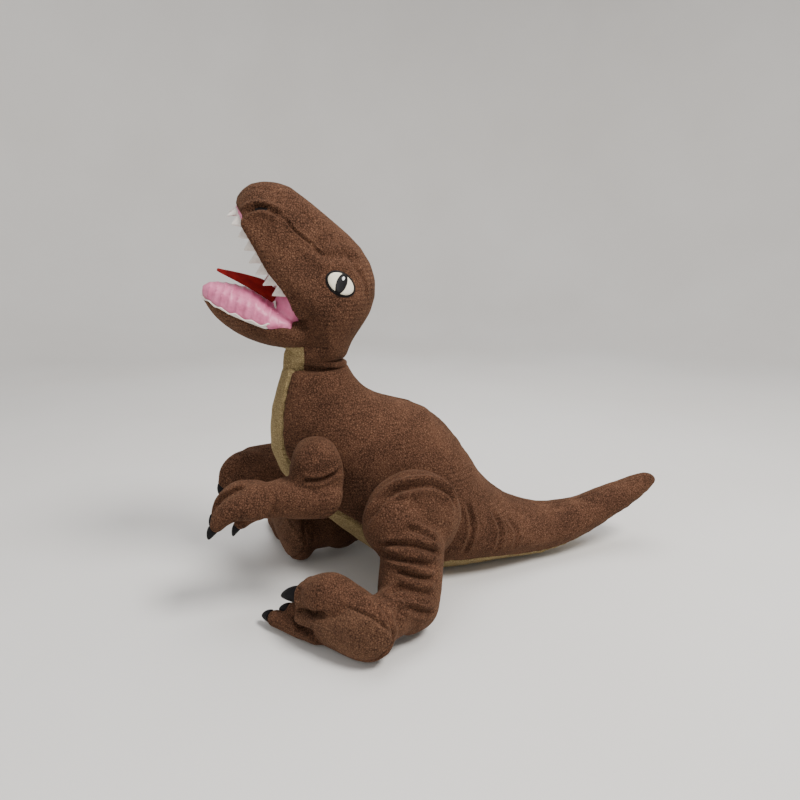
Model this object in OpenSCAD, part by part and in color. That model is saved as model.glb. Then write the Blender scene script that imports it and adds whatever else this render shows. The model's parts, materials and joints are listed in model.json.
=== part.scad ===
// Stuffed dinosaur, sitting upright on its tail base with its mouth open.
// Millimetres, +Z up, the toy faces -Y and its left side is +X.
// The origin is the middle of the flat seat, on the surface that it sits on.

/* [Skin] */
// Thickness of the plush skin panels
skin_t = 2.2; // [1.8:0.1:2.6]
// Thickness of the felt, lining and applique pieces
felt_t = 1.4; // [1:0.1:1.8]
// Clearance between a skin and what lies inside it
fit = 0.5; // [0.3:0.1:0.7]
// Clearance between two pieces that move against each other
run_gap = 0.8; // [0.6:0.1:1.2]

/* [Body] */
// Half-width of the torso at the hips
hip_w = 58; // [50:1:60]
// Half-angle of the belly panel, as seen from the middle of the torso
belly_angle = 40; // [30:1:46]
// Radius of the pellet bag in the seat
pellet_r = 32; // [24:1:34]

/* [Head] */
// Half-width of the head at the cheeks
head_w = 46; // [40:1:50]
// Half-width of the lower jaw
jaw_w = 37; // [32:1:40]
// Half-angle of the gusset along the top of the head
gusset_angle = 38; // [30:1:44]
// Height of one tooth
tooth_h = 9; // [5:0.5:10]

/* [Arms] */
// Radius of the shoulder lobe
shoulder_r = 26; // [22:1:27]
// Radius of the forearm beside the elbow
forearm_r = 19.5; // [16:0.5:20]
// Length of the forearm from elbow to wrist
forearm_l = 64; // [56:1:70]

/* [Legs] */
// Radius of the thigh disc
thigh_r = 50; // [42:1:51]
// Radius of the shin at the knee
shin_r = 30; // [26:1:31]
// Half-height of the foot, from its inner to its outer edge
foot_r = 31; // [26:1:32]

/* [Claws] */
// Length of a toe claw
toe_claw_l = 18; // [12:1:20]
// Length of a finger claw
finger_claw_l = 11; // [8:1:13]

/* [Hidden] */

brown = [0.36, 0.24, 0.19];
olive = [0.55, 0.47, 0.27];
pink = [0.80, 0.58, 0.68];
felt_red = [0.48, 0.12, 0.12];
felt_white = [0.90, 0.88, 0.82];
claw_black = [0.06, 0.06, 0.07];
filling = [0.93, 0.93, 0.90];

// Far larger than the toy, for cutting away half-spaces
big = 700;
// Facets of the round pieces
round_fn = 64;

// Side outline from the tail tip to the neck. Each row is one ring of the body:
// back Y, back Z, under Y, under Z, share of the hip half-width, height of the widest line
body_rows = [
    [268, 80, 267, 75, 0.05, 0.5], [262, 85.5, 262, 69, 0.15, 0.5], [250, 86, 248, 59, 0.24, 0.5],
    [229, 79, 232, 48, 0.32, 0.5], [198, 69, 204, 33, 0.39, 0.5], [166, 60, 174, 18, 0.46, 0.5],
    [141, 57.4, 146, 7, 0.54, 0.5], [122, 59, 122, 2, 0.61, 0.48], [103, 64.6, 99, 0, 0.69, 0.46],
    [84, 72.5, 76, 0, 0.78, 0.45], [65, 84, 51, -2, 0.87, 0.46], [49, 100, 24, -4, 0.94, 0.47],
    [34.5, 121, -6, -4, 0.99, 0.48], [20, 143, -38, 2, 1, 0.49], [5, 162, -70, 19, 1, 0.5],
    [-12, 178.8, -99, 44, 0.98, 0.5], [-32, 189.8, -128, 70, 0.94, 0.5],
    [-50.5, 195, -152, 95, 0.89, 0.5], [-66, 199.5, -170, 119, 0.84, 0.5],
    [-77, 204.5, -179, 145, 0.80, 0.5], [-85, 210, -180.5, 168, 0.75, 0.5],
    [-90.5, 216, -177.5, 190, 0.69, 0.5], [-93.5, 220, -172, 210, 0.63, 0.5],
    [-96, 224, -164, 234, 0.57, 0.5]
];
// First and last ring of the torso, and the last ring that the tail shares with it
torso_u0 = 8.5;
torso_u1 = 23;
seat_u1 = 19;
tail_u0 = 4.5;
tip_u1 = 6.5;
tail_u1 = 12.5;
// Half-angle of the olive strip under the tail
strip_angle = belly_angle;
// Side outline of the head from the neck to the nose, in the same form
head_rows = [
    [-94.5, 238, -147, 247.5, 0.72, 0.5], [-86, 262, -148, 258, 0.85, 0.5],
    [-77, 280, -149, 270, 0.95, 0.45], [-71.6, 300, -150.5, 281, 1, 0.38],
    [-73, 320, -156, 292, 1, 0.26], [-81, 340, -162, 304, 0.95, 0.17],
    [-95, 357, -169, 317, 0.87, 0.12], [-113, 372, -176, 330.5, 0.79, 0.09],
    [-132, 387, -183, 344, 0.73, 0.08], [-148, 399.5, -189, 356, 0.69, 0.08],
    [-164, 405, -194, 366, 0.63, 0.09], [-179, 405, -197.5, 373, 0.53, 0.12],
    [-191, 400, -200, 378, 0.38, 0.18], [-199, 391, -201, 382.5, 0.16, 0.3]
];
mouth_u = 3.2;
head_u1 = 13;
// Side outline of the lower jaw from its root to its tip, in the same form
jaw_rows = [
    [-154, 283, -162, 252.5, 0.95, 0.70], [-166, 293, -171, 252.5, 1, 0.60],
    [-179, 301, -185, 256.5, 0.98, 0.56], [-194, 308, -200, 263.5, 0.90, 0.54],
    [-208, 312, -214, 272.5, 0.79, 0.54], [-220, 314, -226, 284, 0.63, 0.55],
    [-230, 314, -233.5, 296, 0.40, 0.55], [-235, 311.5, -236, 303.5, 0.15, 0.5]
];
jaw_u1 = 7;
// Angle at which a skin panel ends and the mouth lining begins
lip_angle = 104;
lining_t = felt_t;
// Gap between a skin and the felt that is sewn on it
applique_gap = 0.3;
// Height of the felt strip between two teeth
tooth_gap_h = 1.6;
// Eye and nostril on the side of the head: ring, angle, half-length, half-height in degrees
eye_at = [4.42, 60];
eye_half = [0.56, 11.5];
nostril_at = [10.2, 62];
nostril_half = [0.45, 7];
nostril_t = 0.8;
oval_rings = 3;
oval_steps = 20;

// Rings along each skin and steps around it
torso_rings = 15;
torso_side_steps = 12;
belly_steps = 8;
seat_rings = 11;
seat_steps = 32;
torso_core_steps = 36;
head_rings = 17;
head_side_steps = 7;
gusset_steps = 8;
head_core_rings = 12;
head_core_steps = 20;
throat_rings = 4;
lining_steps = 12;
jaw_rings = 10;
jaw_steps = 14;
jaw_core_rings = 8;
tail_rings = 10;
tail_steps = 18;
strip_steps = 6;
tail_core_rings = 8;
tip_rings = 8;
tip_core_rings = 7;

// Neck: its middle in the crease under the head, and the tilt of its axis to the back
neck_at = [0, -129.5, 230];
neck_tilt = 10.2;
neck_ball_r = 23;
neck_groove = 5.5;
neck_h = 7;

// Tail: the upright axis that its root swings about, and the level axis of its tip
tail_root_at = [0, 22, 40];
tail_root_r = 60;
tail_tip_at = [0, 127, 30];
tail_tip_r = 40;

// Arms: the shoulder lobe lies against the chest, and the elbow folds under it.
// The lift turns the fingers up from a full droop.
shoulder_x = hip_w * 0.84 + 2;
shoulder_at = [-138, 150];
upper_arm_l = 31;
left_elbow = [shoulder_x + 19, -133, 117];
left_forearm_aim = [1.5, -70, 5];
left_finger_lift = 0;
right_shoulder_at = [-140, 143];
right_elbow = [shoulder_x + 19, -138, 116];
right_forearm_aim = [-8, -70, -3];
right_finger_lift = 0.3;

// Legs, with X measured outward: the thigh disc lies against the hip
thigh_x = hip_w + 2;
thigh_l = 46;
left_hip = [-48.5, 93];
left_knee = [97, -54, 72];
left_ankle = [126, -67, 31];
left_heel = [153, -107];
right_hip = [-50, 94];
right_knee = [81, -65, 45];
right_ankle = [53, -109, 29];
// The right foot points away from the middle, so its heel is a plain place in X and Y
right_heel = [-36, -155];
right_foot_turn = -34;
ankle_r = 26.5;
// Swing of the shin and of the foot to each side, in degrees
knee_swing = 8;
ankle_swing = 10;
// The foot lies on its inner edge, and its sole faces outward and forward
foot_aim = [-0.69, -0.725, 0];
sole_aim = [0.725, -0.69, 0];
foot_half_t = 21;
// Rings of the foot from heel to toe base: distance, share of foot_r, share of the thickness
foot_rows = [
    [-27, 0.12, 0.12], [-24, 0.50, 0.45], [-16, 0.80, 0.75], [-4, 0.96, 0.95], [14, 1, 1],
    [34, 0.97, 0.96], [52, 0.94, 0.88], [66, 0.90, 0.80]
];
// Distance along the foot at which the toes begin
toe_base = 66.4;
// Toes: distance along the foot, height, base and tip radius, length, aim
toe_rows = [
    [66, 49, 16.5, 13, 11, [-0.68, -0.70, -0.18]], [68, 28, 9, 8, 14, [-0.70, -0.66, -0.05]],
    [68, 13.5, 12, 8.5, 30, [-0.62, -0.78, 0]]
];

// Linear mix of two values or rows
function mix(a, b, t) = a + (b - a) * t;

// The same place on the other side of the middle
function across(p) = [-p[0], p[1], p[2]];

// Smooth value of a list of rows at the fractional place u
function row_at(rows, u) =
    let (
        last = len(rows) - 1,
        i = min(max(floor(u), 0), last - 1),
        t = u - i,
        p0 = rows[max(i - 1, 0)],
        p1 = rows[i],
        p2 = rows[i + 1],
        p3 = rows[min(i + 2, last)]
    )
    (2 * p1 + (p2 - p0) * t + (2 * p0 - 5 * p1 + 4 * p2 - p3) * t * t
        + (3 * p1 - p0 - 3 * p2 + p3) * t * t * t) / 2;

// Point of an outline ring at angle a from the back, at depth t under the surface
function ring_point(row, w, a, t) =
    let (
        back = [0, row[0], row[1]],
        under = [0, row[2], row[3]],
        h = norm(back - under),
        up = (back - under) / h,
        r = cos(a) > 0 ? h * (1 - row[5]) : h * row[5]
    )
    under + up * h * row[5] + up * max(r - t, 0.5) * cos(a)
        + [max(w * row[4] - t, 0.5) * sin(a), 0, 0];

// Grid of surface points between two places and two angles
function patch(rows, w, u, a, t, nu, na) =
    [for (i = [0 : nu]) [for (j = [0 : na])
        ring_point(row_at(rows, mix(u[0], u[1], i / nu)), w, mix(a[0], a[1], j / na), t)]];

// Oval grid on a surface: rings of points about a middle place and angle
function oval(rows, w, u, a, t, half_u, half_a, nr, na, lean) =
    [for (i = [0 : nr]) [for (j = [0 : na - 1])
        let (
            s = max(i / nr, 0.08),
            x = s * cos(360 * j / na),
            y = s * sin(360 * j / na)
        )
        ring_point(row_at(rows, u + half_u * x), w, a + half_a * (y + lean * x), t)]];

// Both triangles of a four-cornered face
function quad(a, b, c, d) = [[c, b, a], [d, c, a]];

// Closed sheet between an outer and an inner grid of points
module sheet(outer, inner) {
    m = len(outer);
    n = len(outer[0]);
    k = m * n;
    function o(i, j) = i * n + j;
    polyhedron(
        points = concat([for (r = outer) each r], [for (r = inner) each r]),
        faces = concat(
            [for (i = [0 : m - 2], j = [0 : n - 2])
                each quad(o(i, j), o(i + 1, j), o(i + 1, j + 1), o(i, j + 1))],
            [for (i = [0 : m - 2], j = [0 : n - 2])
                each quad(k + o(i, j), k + o(i, j + 1), k + o(i + 1, j + 1), k + o(i + 1, j))],
            [for (i = [0 : m - 2]) each quad(o(i, 0), k + o(i, 0), k + o(i + 1, 0), o(i + 1, 0))],
            [for (i = [0 : m - 2])
                each quad(o(i, n - 1), o(i + 1, n - 1), k + o(i + 1, n - 1), k + o(i, n - 1))],
            [for (j = [0 : n - 2]) each quad(o(0, j), o(0, j + 1), k + o(0, j + 1), k + o(0, j))],
            [for (j = [0 : n - 2])
                each quad(o(m - 1, j), k + o(m - 1, j), k + o(m - 1, j + 1), o(m - 1, j + 1))]
        )
    );
}

// Closed solid through a list of rings, each a closed loop of points
module loft(rings) {
    m = len(rings);
    n = len(rings[0]);
    function o(i, j) = i * n + j % n;
    polyhedron(
        points = [for (r = rings) each r],
        faces = concat(
            [for (i = [0 : m - 2], j = [0 : n - 1])
                each quad(o(i, j), o(i + 1, j), o(i + 1, j + 1), o(i, j + 1))],
            [[for (j = [n - 1 : -1 : 0]) j]],
            [[for (j = [0 : n - 1]) o(m - 1, j)]]
        )
    );
}

// Skin panel of thickness t over part of an outline
module panel(rows, w, u, a, t, nu, na) {
    sheet(patch(rows, w, u, a, 0, nu, na), patch(rows, w, u, a, t, nu, na));
}

// Solid inside an outline, t under its surface
module core(rows, w, u, t, nu, na) {
    loft([for (ring = patch(rows, w, u, [0, 360], t, nu, na)) [for (j = [0 : na - 1]) ring[j]]]);
}

// Sheet of thickness t that stands d proud of an oval part of a surface
module applique(rows, w, at, half, d, t, lean) {
    outer = oval(rows, w, at[0], at[1], -d - t, half[0], half[1], oval_rings, oval_steps, lean);
    inner = oval(rows, w, at[0], at[1], -d, half[0], half[1], oval_rings, oval_steps, lean);
    loft(concat(outer, [for (i = [len(inner) - 1 : -1 : 0]) inner[i]]));
}

// Places the children at a point, with their +Z along a direction
module aim(at, dir) {
    translate(at)
        rotate([0, acos(dir[2] / norm(dir)), atan2(dir[1], dir[0])])
            children();
}

// Arc of profile points about a place on the axis
function arc(r, z, a0, a1, n) = [for (k = [0 : n]) let (a = mix(a0, a1, k / n))
    [max(r * cos(a), 0), z + r * sin(a)]];

// Stuffed lobe of revolution from a ball of radius r0 to one of radius r1, l apart
module lobe(r0, r1, l) {
    rotate_extrude($fn = round_fn)
        polygon(concat(arc(r0, 0, -90, 0, 6), [[mix(r0, r1, 0.5) - 0.6, l * 0.55]],
            arc(r1, l, 0, 90, 6)));
}

// Stuffed disc of radius r and thickness l with a flat back
module disc(r, l) {
    rotate_extrude($fn = round_fn)
        polygon([[0, 0], [r * 0.96, 0], [r, l * 0.15], [r * 0.98, l * 0.38], [r * 0.88, l * 0.62],
            [r * 0.68, l * 0.84], [r * 0.36, l * 0.97], [0, l]]);
}

// Keeps the left side as it is, or mirrors it to the right
module on_side(side) {
    if (side > 0) {
        children();
    } else {
        mirror([1, 0, 0]) children();
    }
}

// Everything under a height
module below(z) {
    translate([-big, -big, z - 2 * big])
        cube(2 * big);
}

// The space that the torso keeps, up to the root of the tail, grown by g
module torso_zone(g) {
    union() {
        translate([-big, tail_root_at[1] - 2 * big, -big])
            cube(2 * big);
        translate([0, tail_root_at[1], -big])
            cylinder(r = tail_root_r + g, h = 2 * big, $fn = 96);
    }
}

// The space that the tail base keeps, up to the tail tip, grown by g
module tail_base_zone(g) {
    union() {
        translate([-big, tail_tip_at[1] - 2 * big, -big])
            cube(2 * big);
        translate(tail_tip_at - [big, 0, 0])
            rotate([0, 90, 0])
                cylinder(r = tail_tip_r + g, h = 2 * big, $fn = 96);
    }
}

module torso_part(floor_z) {
    difference() {
        intersection() {
            children();
            torso_zone(0);
        }
        below(floor_z);
    }
}

module torso_side_panel(side) {
    torso_part(skin_t + 0.2)
        panel(body_rows, hip_w, [torso_u0, torso_u1], [0, side * (180 - belly_angle)],
            skin_t, torso_rings, torso_side_steps);
}

module torso_left_panel() {
    color(brown)
        torso_side_panel(1);
}

module torso_right_panel() {
    color(brown)
        mirror([1, 0, 0])
            torso_side_panel(1);
}

module belly_panel() {
    color(olive)
        torso_part(skin_t + 0.2)
            panel(body_rows, hip_w, [torso_u0, torso_u1], [180 - belly_angle, 180 + belly_angle],
                skin_t, torso_rings, belly_steps);
}

module seat_panel() {
    color(olive)
        difference() {
            torso_part(0)
                core(body_rows, hip_w, [torso_u0, seat_u1], 0, seat_rings, seat_steps);
            translate([-big, -big, skin_t])
                cube(2 * big);
        }
}

module pellet_bag_shape(g) {
    translate([0, -4, 12])
        rotate_extrude($fn = round_fn)
            polygon([[0, -g], [pellet_r * 0.8 + g, -g], [pellet_r + g, 7], [pellet_r + g, 15],
                [pellet_r * 0.75 + g, 24 + g], [0, 27 + g]]);
}

module torso_stuffing() {
    color(filling)
        difference() {
            torso_part(skin_t + 0.4)
                core(body_rows, hip_w, [torso_u0, torso_u1], skin_t + fit, torso_rings,
                    torso_core_steps);
            translate(neck_at)
                sphere(r = neck_ball_r + run_gap, $fn = round_fn);
            pellet_bag_shape(fit);
        }
}

module pellet_bag() {
    color("gainsboro") pellet_bag_shape(0);
}

// Places the children on the neck axis, d above the crease
module on_neck(d) {
    translate(neck_at)
        rotate([-neck_tilt, 0, 0])
            translate([0, 0, d])
                children();
}

module neck_sleeve() {
    r = hip_w * 0.57 - 1;
    color(olive)
        on_neck(neck_groove)
            difference() {
                cylinder(r = r, h = neck_h, $fn = round_fn);
                translate([0, 0, -1])
                    cylinder(r = r - skin_t, h = neck_h + 2, $fn = round_fn);
            }
}

module neck_stuffing() {
    r = hip_w * 0.57 - 1 - skin_t - fit;
    color(filling)
        union() {
            on_neck(neck_groove)
                cylinder(r = r, h = neck_h, $fn = round_fn);
            difference() {
                translate(neck_at)
                    sphere(r = neck_ball_r, $fn = round_fn);
                on_neck(neck_groove + neck_h / 2)
                    translate([-big, -big, 0])
                        cube(2 * big);
            }
        }
}

// Cuts the head off level with the top of the neck
module head_part() {
    difference() {
        children();
        on_neck(neck_groove + neck_h + run_gap - 2 * big)
            translate([-big, -big, 0])
                cube(2 * big);
    }
}

module head_side_panel() {
    head_part()
        panel(head_rows, head_w, [0, head_u1], [gusset_angle, lip_angle], skin_t,
            head_rings, head_side_steps);
}

module head_left_panel() {
    color(brown)
        head_side_panel();
}

module head_right_panel() {
    color(brown)
        mirror([1, 0, 0])
            head_side_panel();
}

module head_top_gusset() {
    color(brown)
        head_part()
            panel(head_rows, head_w, [0, head_u1], [-gusset_angle, gusset_angle], skin_t,
                head_rings, gusset_steps);
}

module throat_panel() {
    color(brown)
        head_part()
            panel(head_rows, head_w, [0, mouth_u], [lip_angle, 360 - lip_angle], skin_t,
                throat_rings, lining_steps);
}

module palate_lining() {
    color(pink)
        panel(head_rows, head_w, [mouth_u, head_u1], [lip_angle, 360 - lip_angle], lining_t,
            13, 10);
}

module head_stuffing() {
    color(filling)
        head_part()
            core(head_rows, head_w, [0, head_u1 - 0.4], skin_t + fit, head_core_rings,
                head_core_steps);
}

// Both edges of a zigzag strip of teeth along a lip, standing d proud of the skin
function tooth_grid(rows, w, u, a, lean, count, d) =
    [for (k = [0 : 1]) [for (j = [0 : 2 * count])
        ring_point(row_at(rows, mix(u[0], u[1], j / (2 * count))), w, a, -d)
            + lean * (k == 0 ? 0 : (j % 2 == 1 ? tooth_h : tooth_gap_h))]];

// Zigzag strip of teeth along a lip, from u[0] to u[1]
module tooth_strip(rows, w, u, a, lean, count) {
    sheet(tooth_grid(rows, w, u, a, lean, count, applique_gap + felt_t),
        tooth_grid(rows, w, u, a, lean, count, applique_gap));
}

module upper_teeth() {
    lean = [0, -0.86, -0.5];
    color(felt_white) {
        tooth_strip(head_rows, head_w, [head_u1 - 0.6, mouth_u + 0.8], lip_angle - 4, lean, 9);
        mirror([1, 0, 0])
            tooth_strip(head_rows, head_w, [head_u1 - 0.6, mouth_u + 0.8], lip_angle - 4, lean, 9);
    }
}

module left_eye() {
    color("ivory")
        applique(head_rows, head_w, eye_at, eye_half, applique_gap, felt_t, 0.5);
}

module right_eye() {
    color("ivory")
        mirror([1, 0, 0])
            applique(head_rows, head_w, eye_at, eye_half, applique_gap, felt_t, 0.5);
}

module nostril_stitching() {
    color(claw_black) {
        applique(head_rows, head_w, nostril_at, nostril_half, applique_gap, nostril_t, 0);
        mirror([1, 0, 0])
            applique(head_rows, head_w, nostril_at, nostril_half, applique_gap, nostril_t, 0);
    }
}

module jaw_skin() {
    color(brown)
        panel(jaw_rows, jaw_w, [0, jaw_u1], [90, 270], skin_t, jaw_rings, jaw_steps);
}

module mouth_floor_lining() {
    color(pink)
        panel(jaw_rows, jaw_w, [0, jaw_u1], [-90, 90], lining_t, jaw_rings, lining_steps);
}

module jaw_stuffing() {
    color(filling)
        core(jaw_rows, jaw_w, [0.15, jaw_u1 - 0.5], skin_t + fit, jaw_core_rings, tail_steps);
}

module lower_teeth() {
    lean = [0, -0.35, 0.93];
    color(felt_white) {
        tooth_strip(jaw_rows, jaw_w, [1.2, jaw_u1 - 0.4], 84, lean * 0.6, 8);
        mirror([1, 0, 0])
            tooth_strip(jaw_rows, jaw_w, [1.2, jaw_u1 - 0.4], 84, lean * 0.6, 8);
    }
}

// Leaf outline of the tongue: distance from its root, rise, half-width
tongue_rows = [
    [0, 0, 4], [7, 6, 9], [16, 14, 14], [26, 20, 15], [36, 24, 12], [45, 27, 7], [52, 29.5, 1.2]
];
tongue_root = [0, -167, 299];

module tongue() {
    rows = [for (u = [0 : 0.5 : 6]) row_at(tongue_rows, u)];
    top = [for (r = rows) [for (x = [-1 : 0.5 : 1])
        tongue_root + [x * r[2], -r[0], r[1] + 3 - 2 * x * x]]];
    under = [for (row = top) [for (p = row) p - [0, 0, 2 * felt_t]]];
    color(felt_red)
        sheet(top, under);
}

// Forearm as a stuffed lobe from elbow to wrist, grown by g
module forearm_shape(elbow, dir, g) {
    aim(elbow, dir)
        lobe(forearm_r + g, forearm_r - 3 + g, forearm_l);
}

module upper_arm_shape(at, t) {
    translate([shoulder_x, at[0], at[1]])
        rotate([0, 90, 0])
            disc(shoulder_r - t, upper_arm_l - t);
}

module upper_arm_skin(side, at, elbow, dir) {
    color(brown)
        on_side(side)
            difference() {
                upper_arm_shape(at, 0);
                translate([-0.1, 0, 0])
                    upper_arm_shape(at, skin_t);
                forearm_shape(elbow, dir, run_gap);
            }
}

module upper_arm_stuffing(side, at, elbow, dir) {
    color(filling)
        on_side(side)
            difference() {
                upper_arm_shape(at, skin_t + fit);
                forearm_shape(elbow, dir, run_gap);
            }
}

module forearm_skin(side, elbow, dir) {
    color(brown)
        on_side(side)
            difference() {
                forearm_shape(elbow, dir, 0);
                forearm_shape(elbow, dir, -skin_t);
            }
}

module forearm_stuffing(side, elbow, dir) {
    color(filling)
        on_side(side)
            forearm_shape(elbow, dir, -skin_t - fit);
}

// Fingers, from the wrist: X, forward, Z, base and tip radius, length, aim
finger_rows = [
    [7, 77, -4, 9.5, 7, 20, [0, -0.74, -0.67]],
    [-9, 79, 1, 9.5, 7, 23, [-0.1, -0.77, -0.62]],
    [-9, 63, -20, 7, 5.5, 9, [-0.2, -0.55, -0.8]]
];

// Places the children at the base of one finger and along it
module at_finger(elbow, dir, lift, row) {
    f = dir / norm(dir);
    aim(elbow + f * row[1] + [row[0], 0, row[2]], row[6] + [0, 0, lift])
        children();
}

module fingers(side, elbow, dir, lift) {
    color(brown)
        on_side(side)
            difference() {
                for (row = finger_rows) {
                    at_finger(elbow, dir, lift, row)
                        lobe(row[3], row[4], row[5]);
                }
                forearm_shape(elbow, dir, 0.3);
            }
}

// Blunt curved-sided claw of length l on a base of radius r
module claw(r, l) {
    rotate_extrude($fn = 24)
        polygon([[0, 0], [r, 0], [r * 0.92, l * 0.35], [r * 0.62, l * 0.72], [r * 0.25, l * 0.95],
            [0, l]]);
}

module finger_claws(side, elbow, dir, lift) {
    color(claw_black)
        on_side(side)
            for (row = finger_rows) {
                at_finger(elbow, dir, lift, row)
                    translate([0, 0, row[4] + row[5] + 0.3])
                        rotate([0, 8, 0])
                            claw(row[4] * 0.55, finger_claw_l);
            }
}

module left_upper_arm_skin() {
    upper_arm_skin(1, shoulder_at, left_elbow, left_forearm_aim);
}

module left_upper_arm_stuffing() {
    upper_arm_stuffing(1, shoulder_at, left_elbow, left_forearm_aim);
}

module left_forearm_skin() {
    forearm_skin(1, left_elbow, left_forearm_aim);
}

module left_forearm_stuffing() {
    forearm_stuffing(1, left_elbow, left_forearm_aim);
}

module left_fingers() {
    fingers(1, left_elbow, left_forearm_aim, left_finger_lift);
}

module left_finger_claws() {
    finger_claws(1, left_elbow, left_forearm_aim, left_finger_lift);
}

module right_upper_arm_skin() {
    upper_arm_skin(-1, right_shoulder_at, right_elbow, right_forearm_aim);
}

module right_upper_arm_stuffing() {
    upper_arm_stuffing(-1, right_shoulder_at, right_elbow, right_forearm_aim);
}

module right_forearm_skin() {
    forearm_skin(-1, right_elbow, right_forearm_aim);
}

module right_forearm_stuffing() {
    forearm_stuffing(-1, right_elbow, right_forearm_aim);
}

module right_fingers() {
    fingers(-1, right_elbow, right_forearm_aim, right_finger_lift);
}

module right_finger_claws() {
    finger_claws(-1, right_elbow, right_forearm_aim, right_finger_lift);
}

module thigh_shape(hip, t) {
    translate([thigh_x, hip[0], hip[1]])
        rotate([0, 90, 0])
            disc(thigh_r - t, thigh_l - t);
}

// Shin as a stuffed lobe from knee to ankle, grown by g
module shin_shape(knee, ankle, g) {
    aim(knee, ankle - knee)
        lobe(shin_r + g, ankle_r + g, norm(ankle - knee));
}

// Room for the shin while it swings, as one lobe whose knee or ankle end is larger
module shin_room(knee, ankle, knee_more, ankle_more) {
    aim(knee, ankle - knee)
        lobe(shin_r + run_gap + knee_more, ankle_r + run_gap + ankle_more, norm(ankle - knee));
}

// How far the ankle moves as the knee swings, and the knee as the ankle swings
function knee_reach(knee, ankle) = norm(ankle - knee) * sin(knee_swing);
function ankle_reach(knee, ankle) =
    norm([ankle[0] - knee[0], ankle[1] - knee[1]]) * sin(ankle_swing);

module thigh_skin(side, hip, knee, ankle) {
    color(brown)
        on_side(side)
            difference() {
                thigh_shape(hip, 0);
                translate([-0.1, 0, 0])
                    thigh_shape(hip, skin_t);
                shin_room(knee, ankle, 0, knee_reach(knee, ankle));
            }
}

module thigh_stuffing(side, hip, knee, ankle) {
    color(filling)
        on_side(side)
            difference() {
                thigh_shape(hip, skin_t + fit);
                shin_room(knee, ankle, 0, knee_reach(knee, ankle));
            }
}

module shin_skin(side, knee, ankle) {
    color(brown)
        on_side(side)
            difference() {
                shin_shape(knee, ankle, 0);
                shin_shape(knee, ankle, -skin_t);
            }
}

module shin_stuffing(side, knee, ankle) {
    color(filling)
        on_side(side)
            shin_shape(knee, ankle, -skin_t - fit);
}

// Grid of points on the foot, t under its surface; angle 0 is its upper edge, 90 its sole
function foot_patch(heel, a, t, nu, na) =
    [for (i = [0 : nu]) let (row = row_at(foot_rows, mix(0, len(foot_rows) - 1, i / nu)))
        [for (j = [0 : na]) let (b = mix(a[0], a[1], j / na))
            [heel[0], heel[1], foot_r] + foot_aim * row[0]
                + [0, 0, 1] * max(foot_r * row[1] - t, 0.4) * cos(b)
                + sole_aim * max(foot_half_t * row[2] - t, 0.4) * sin(b)]];

// Turns a foot about its heel
module turned(heel, turn) {
    translate([heel[0], heel[1], 0])
        rotate([0, 0, turn])
            translate([-heel[0], -heel[1], 0])
                children();
}

// Cuts the foot clear of the shin over the whole swing of the ankle
module foot_part(knee, ankle) {
    difference() {
        children();
        shin_room(knee, ankle, ankle_reach(knee, ankle), 0);
    }
}

module foot_skin(heel, turn, knee, ankle) {
    color(brown)
        foot_part(knee, ankle)
            turned(heel, turn)
                sheet(foot_patch(heel, [140, 400], 0, 10, 18),
                    foot_patch(heel, [140, 400], skin_t, 10, 18));
}

module foot_sole(heel, turn, knee, ankle) {
    color(brown * 0.85)
        foot_part(knee, ankle)
            turned(heel, turn)
                sheet(foot_patch(heel, [40, 140], 0, 10, 7),
                    foot_patch(heel, [40, 140], skin_t, 10, 7));
}

module foot_stuffing(heel, turn, knee, ankle) {
    grid = foot_patch(heel, [0, 360], skin_t + fit, 9, 18);
    color(filling)
        foot_part(knee, ankle)
            turned(heel, turn)
                loft([for (i = [1 : len(grid) - 1]) [for (j = [0 : 17]) grid[i][j]]]);
}

// Places the children at the base of one toe and along it
module at_toe(heel, row) {
    aim([heel[0], heel[1], row[1]] + foot_aim * row[0], row[5])
        children();
}

module toes(heel, turn) {
    color(brown)
        turned(heel, turn)
            difference() {
                for (row = toe_rows) {
                    at_toe(heel, row)
                        lobe(row[2], row[3], row[4]);
                }
                translate([heel[0], heel[1], 0] + foot_aim * toe_base)
                    rotate([0, 0, atan2(foot_aim[1], foot_aim[0])])
                        translate([-2 * big, -big, -big])
                            cube(2 * big);
            }
}

module toe_claws(heel, turn) {
    color(claw_black)
        turned(heel, turn)
            for (row = toe_rows) {
                at_toe(heel, row)
                    translate([0, 0, row[3] + row[4] + 0.3])
                        claw(row[3] * 0.6, toe_claw_l * row[3] / 11);
            }
}

module left_thigh_skin() {
    thigh_skin(1, left_hip, left_knee, left_ankle);
}

module left_thigh_stuffing() {
    thigh_stuffing(1, left_hip, left_knee, left_ankle);
}

module left_shin_skin() {
    shin_skin(1, left_knee, left_ankle);
}

module left_shin_stuffing() {
    shin_stuffing(1, left_knee, left_ankle);
}

module left_foot_skin() {
    foot_skin(left_heel, 0, left_knee, left_ankle);
}

module left_foot_sole() {
    foot_sole(left_heel, 0, left_knee, left_ankle);
}

module left_foot_stuffing() {
    foot_stuffing(left_heel, 0, left_knee, left_ankle);
}

module left_toes() {
    toes(left_heel, 0);
}

module left_toe_claws() {
    toe_claws(left_heel, 0);
}

module right_thigh_skin() {
    thigh_skin(-1, right_hip, right_knee, right_ankle);
}

module right_thigh_stuffing() {
    thigh_stuffing(-1, right_hip, right_knee, right_ankle);
}

module right_shin_skin() {
    shin_skin(-1, right_knee, right_ankle);
}

module right_shin_stuffing() {
    shin_stuffing(-1, right_knee, right_ankle);
}

module right_foot_skin() {
    foot_skin(right_heel, right_foot_turn, across(right_knee), across(right_ankle));
}

module right_foot_sole() {
    foot_sole(right_heel, right_foot_turn, across(right_knee), across(right_ankle));
}

module right_foot_stuffing() {
    foot_stuffing(right_heel, right_foot_turn, across(right_knee), across(right_ankle));
}

module right_toes() {
    toes(right_heel, right_foot_turn);
}

module right_toe_claws() {
    toe_claws(right_heel, right_foot_turn);
}

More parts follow.
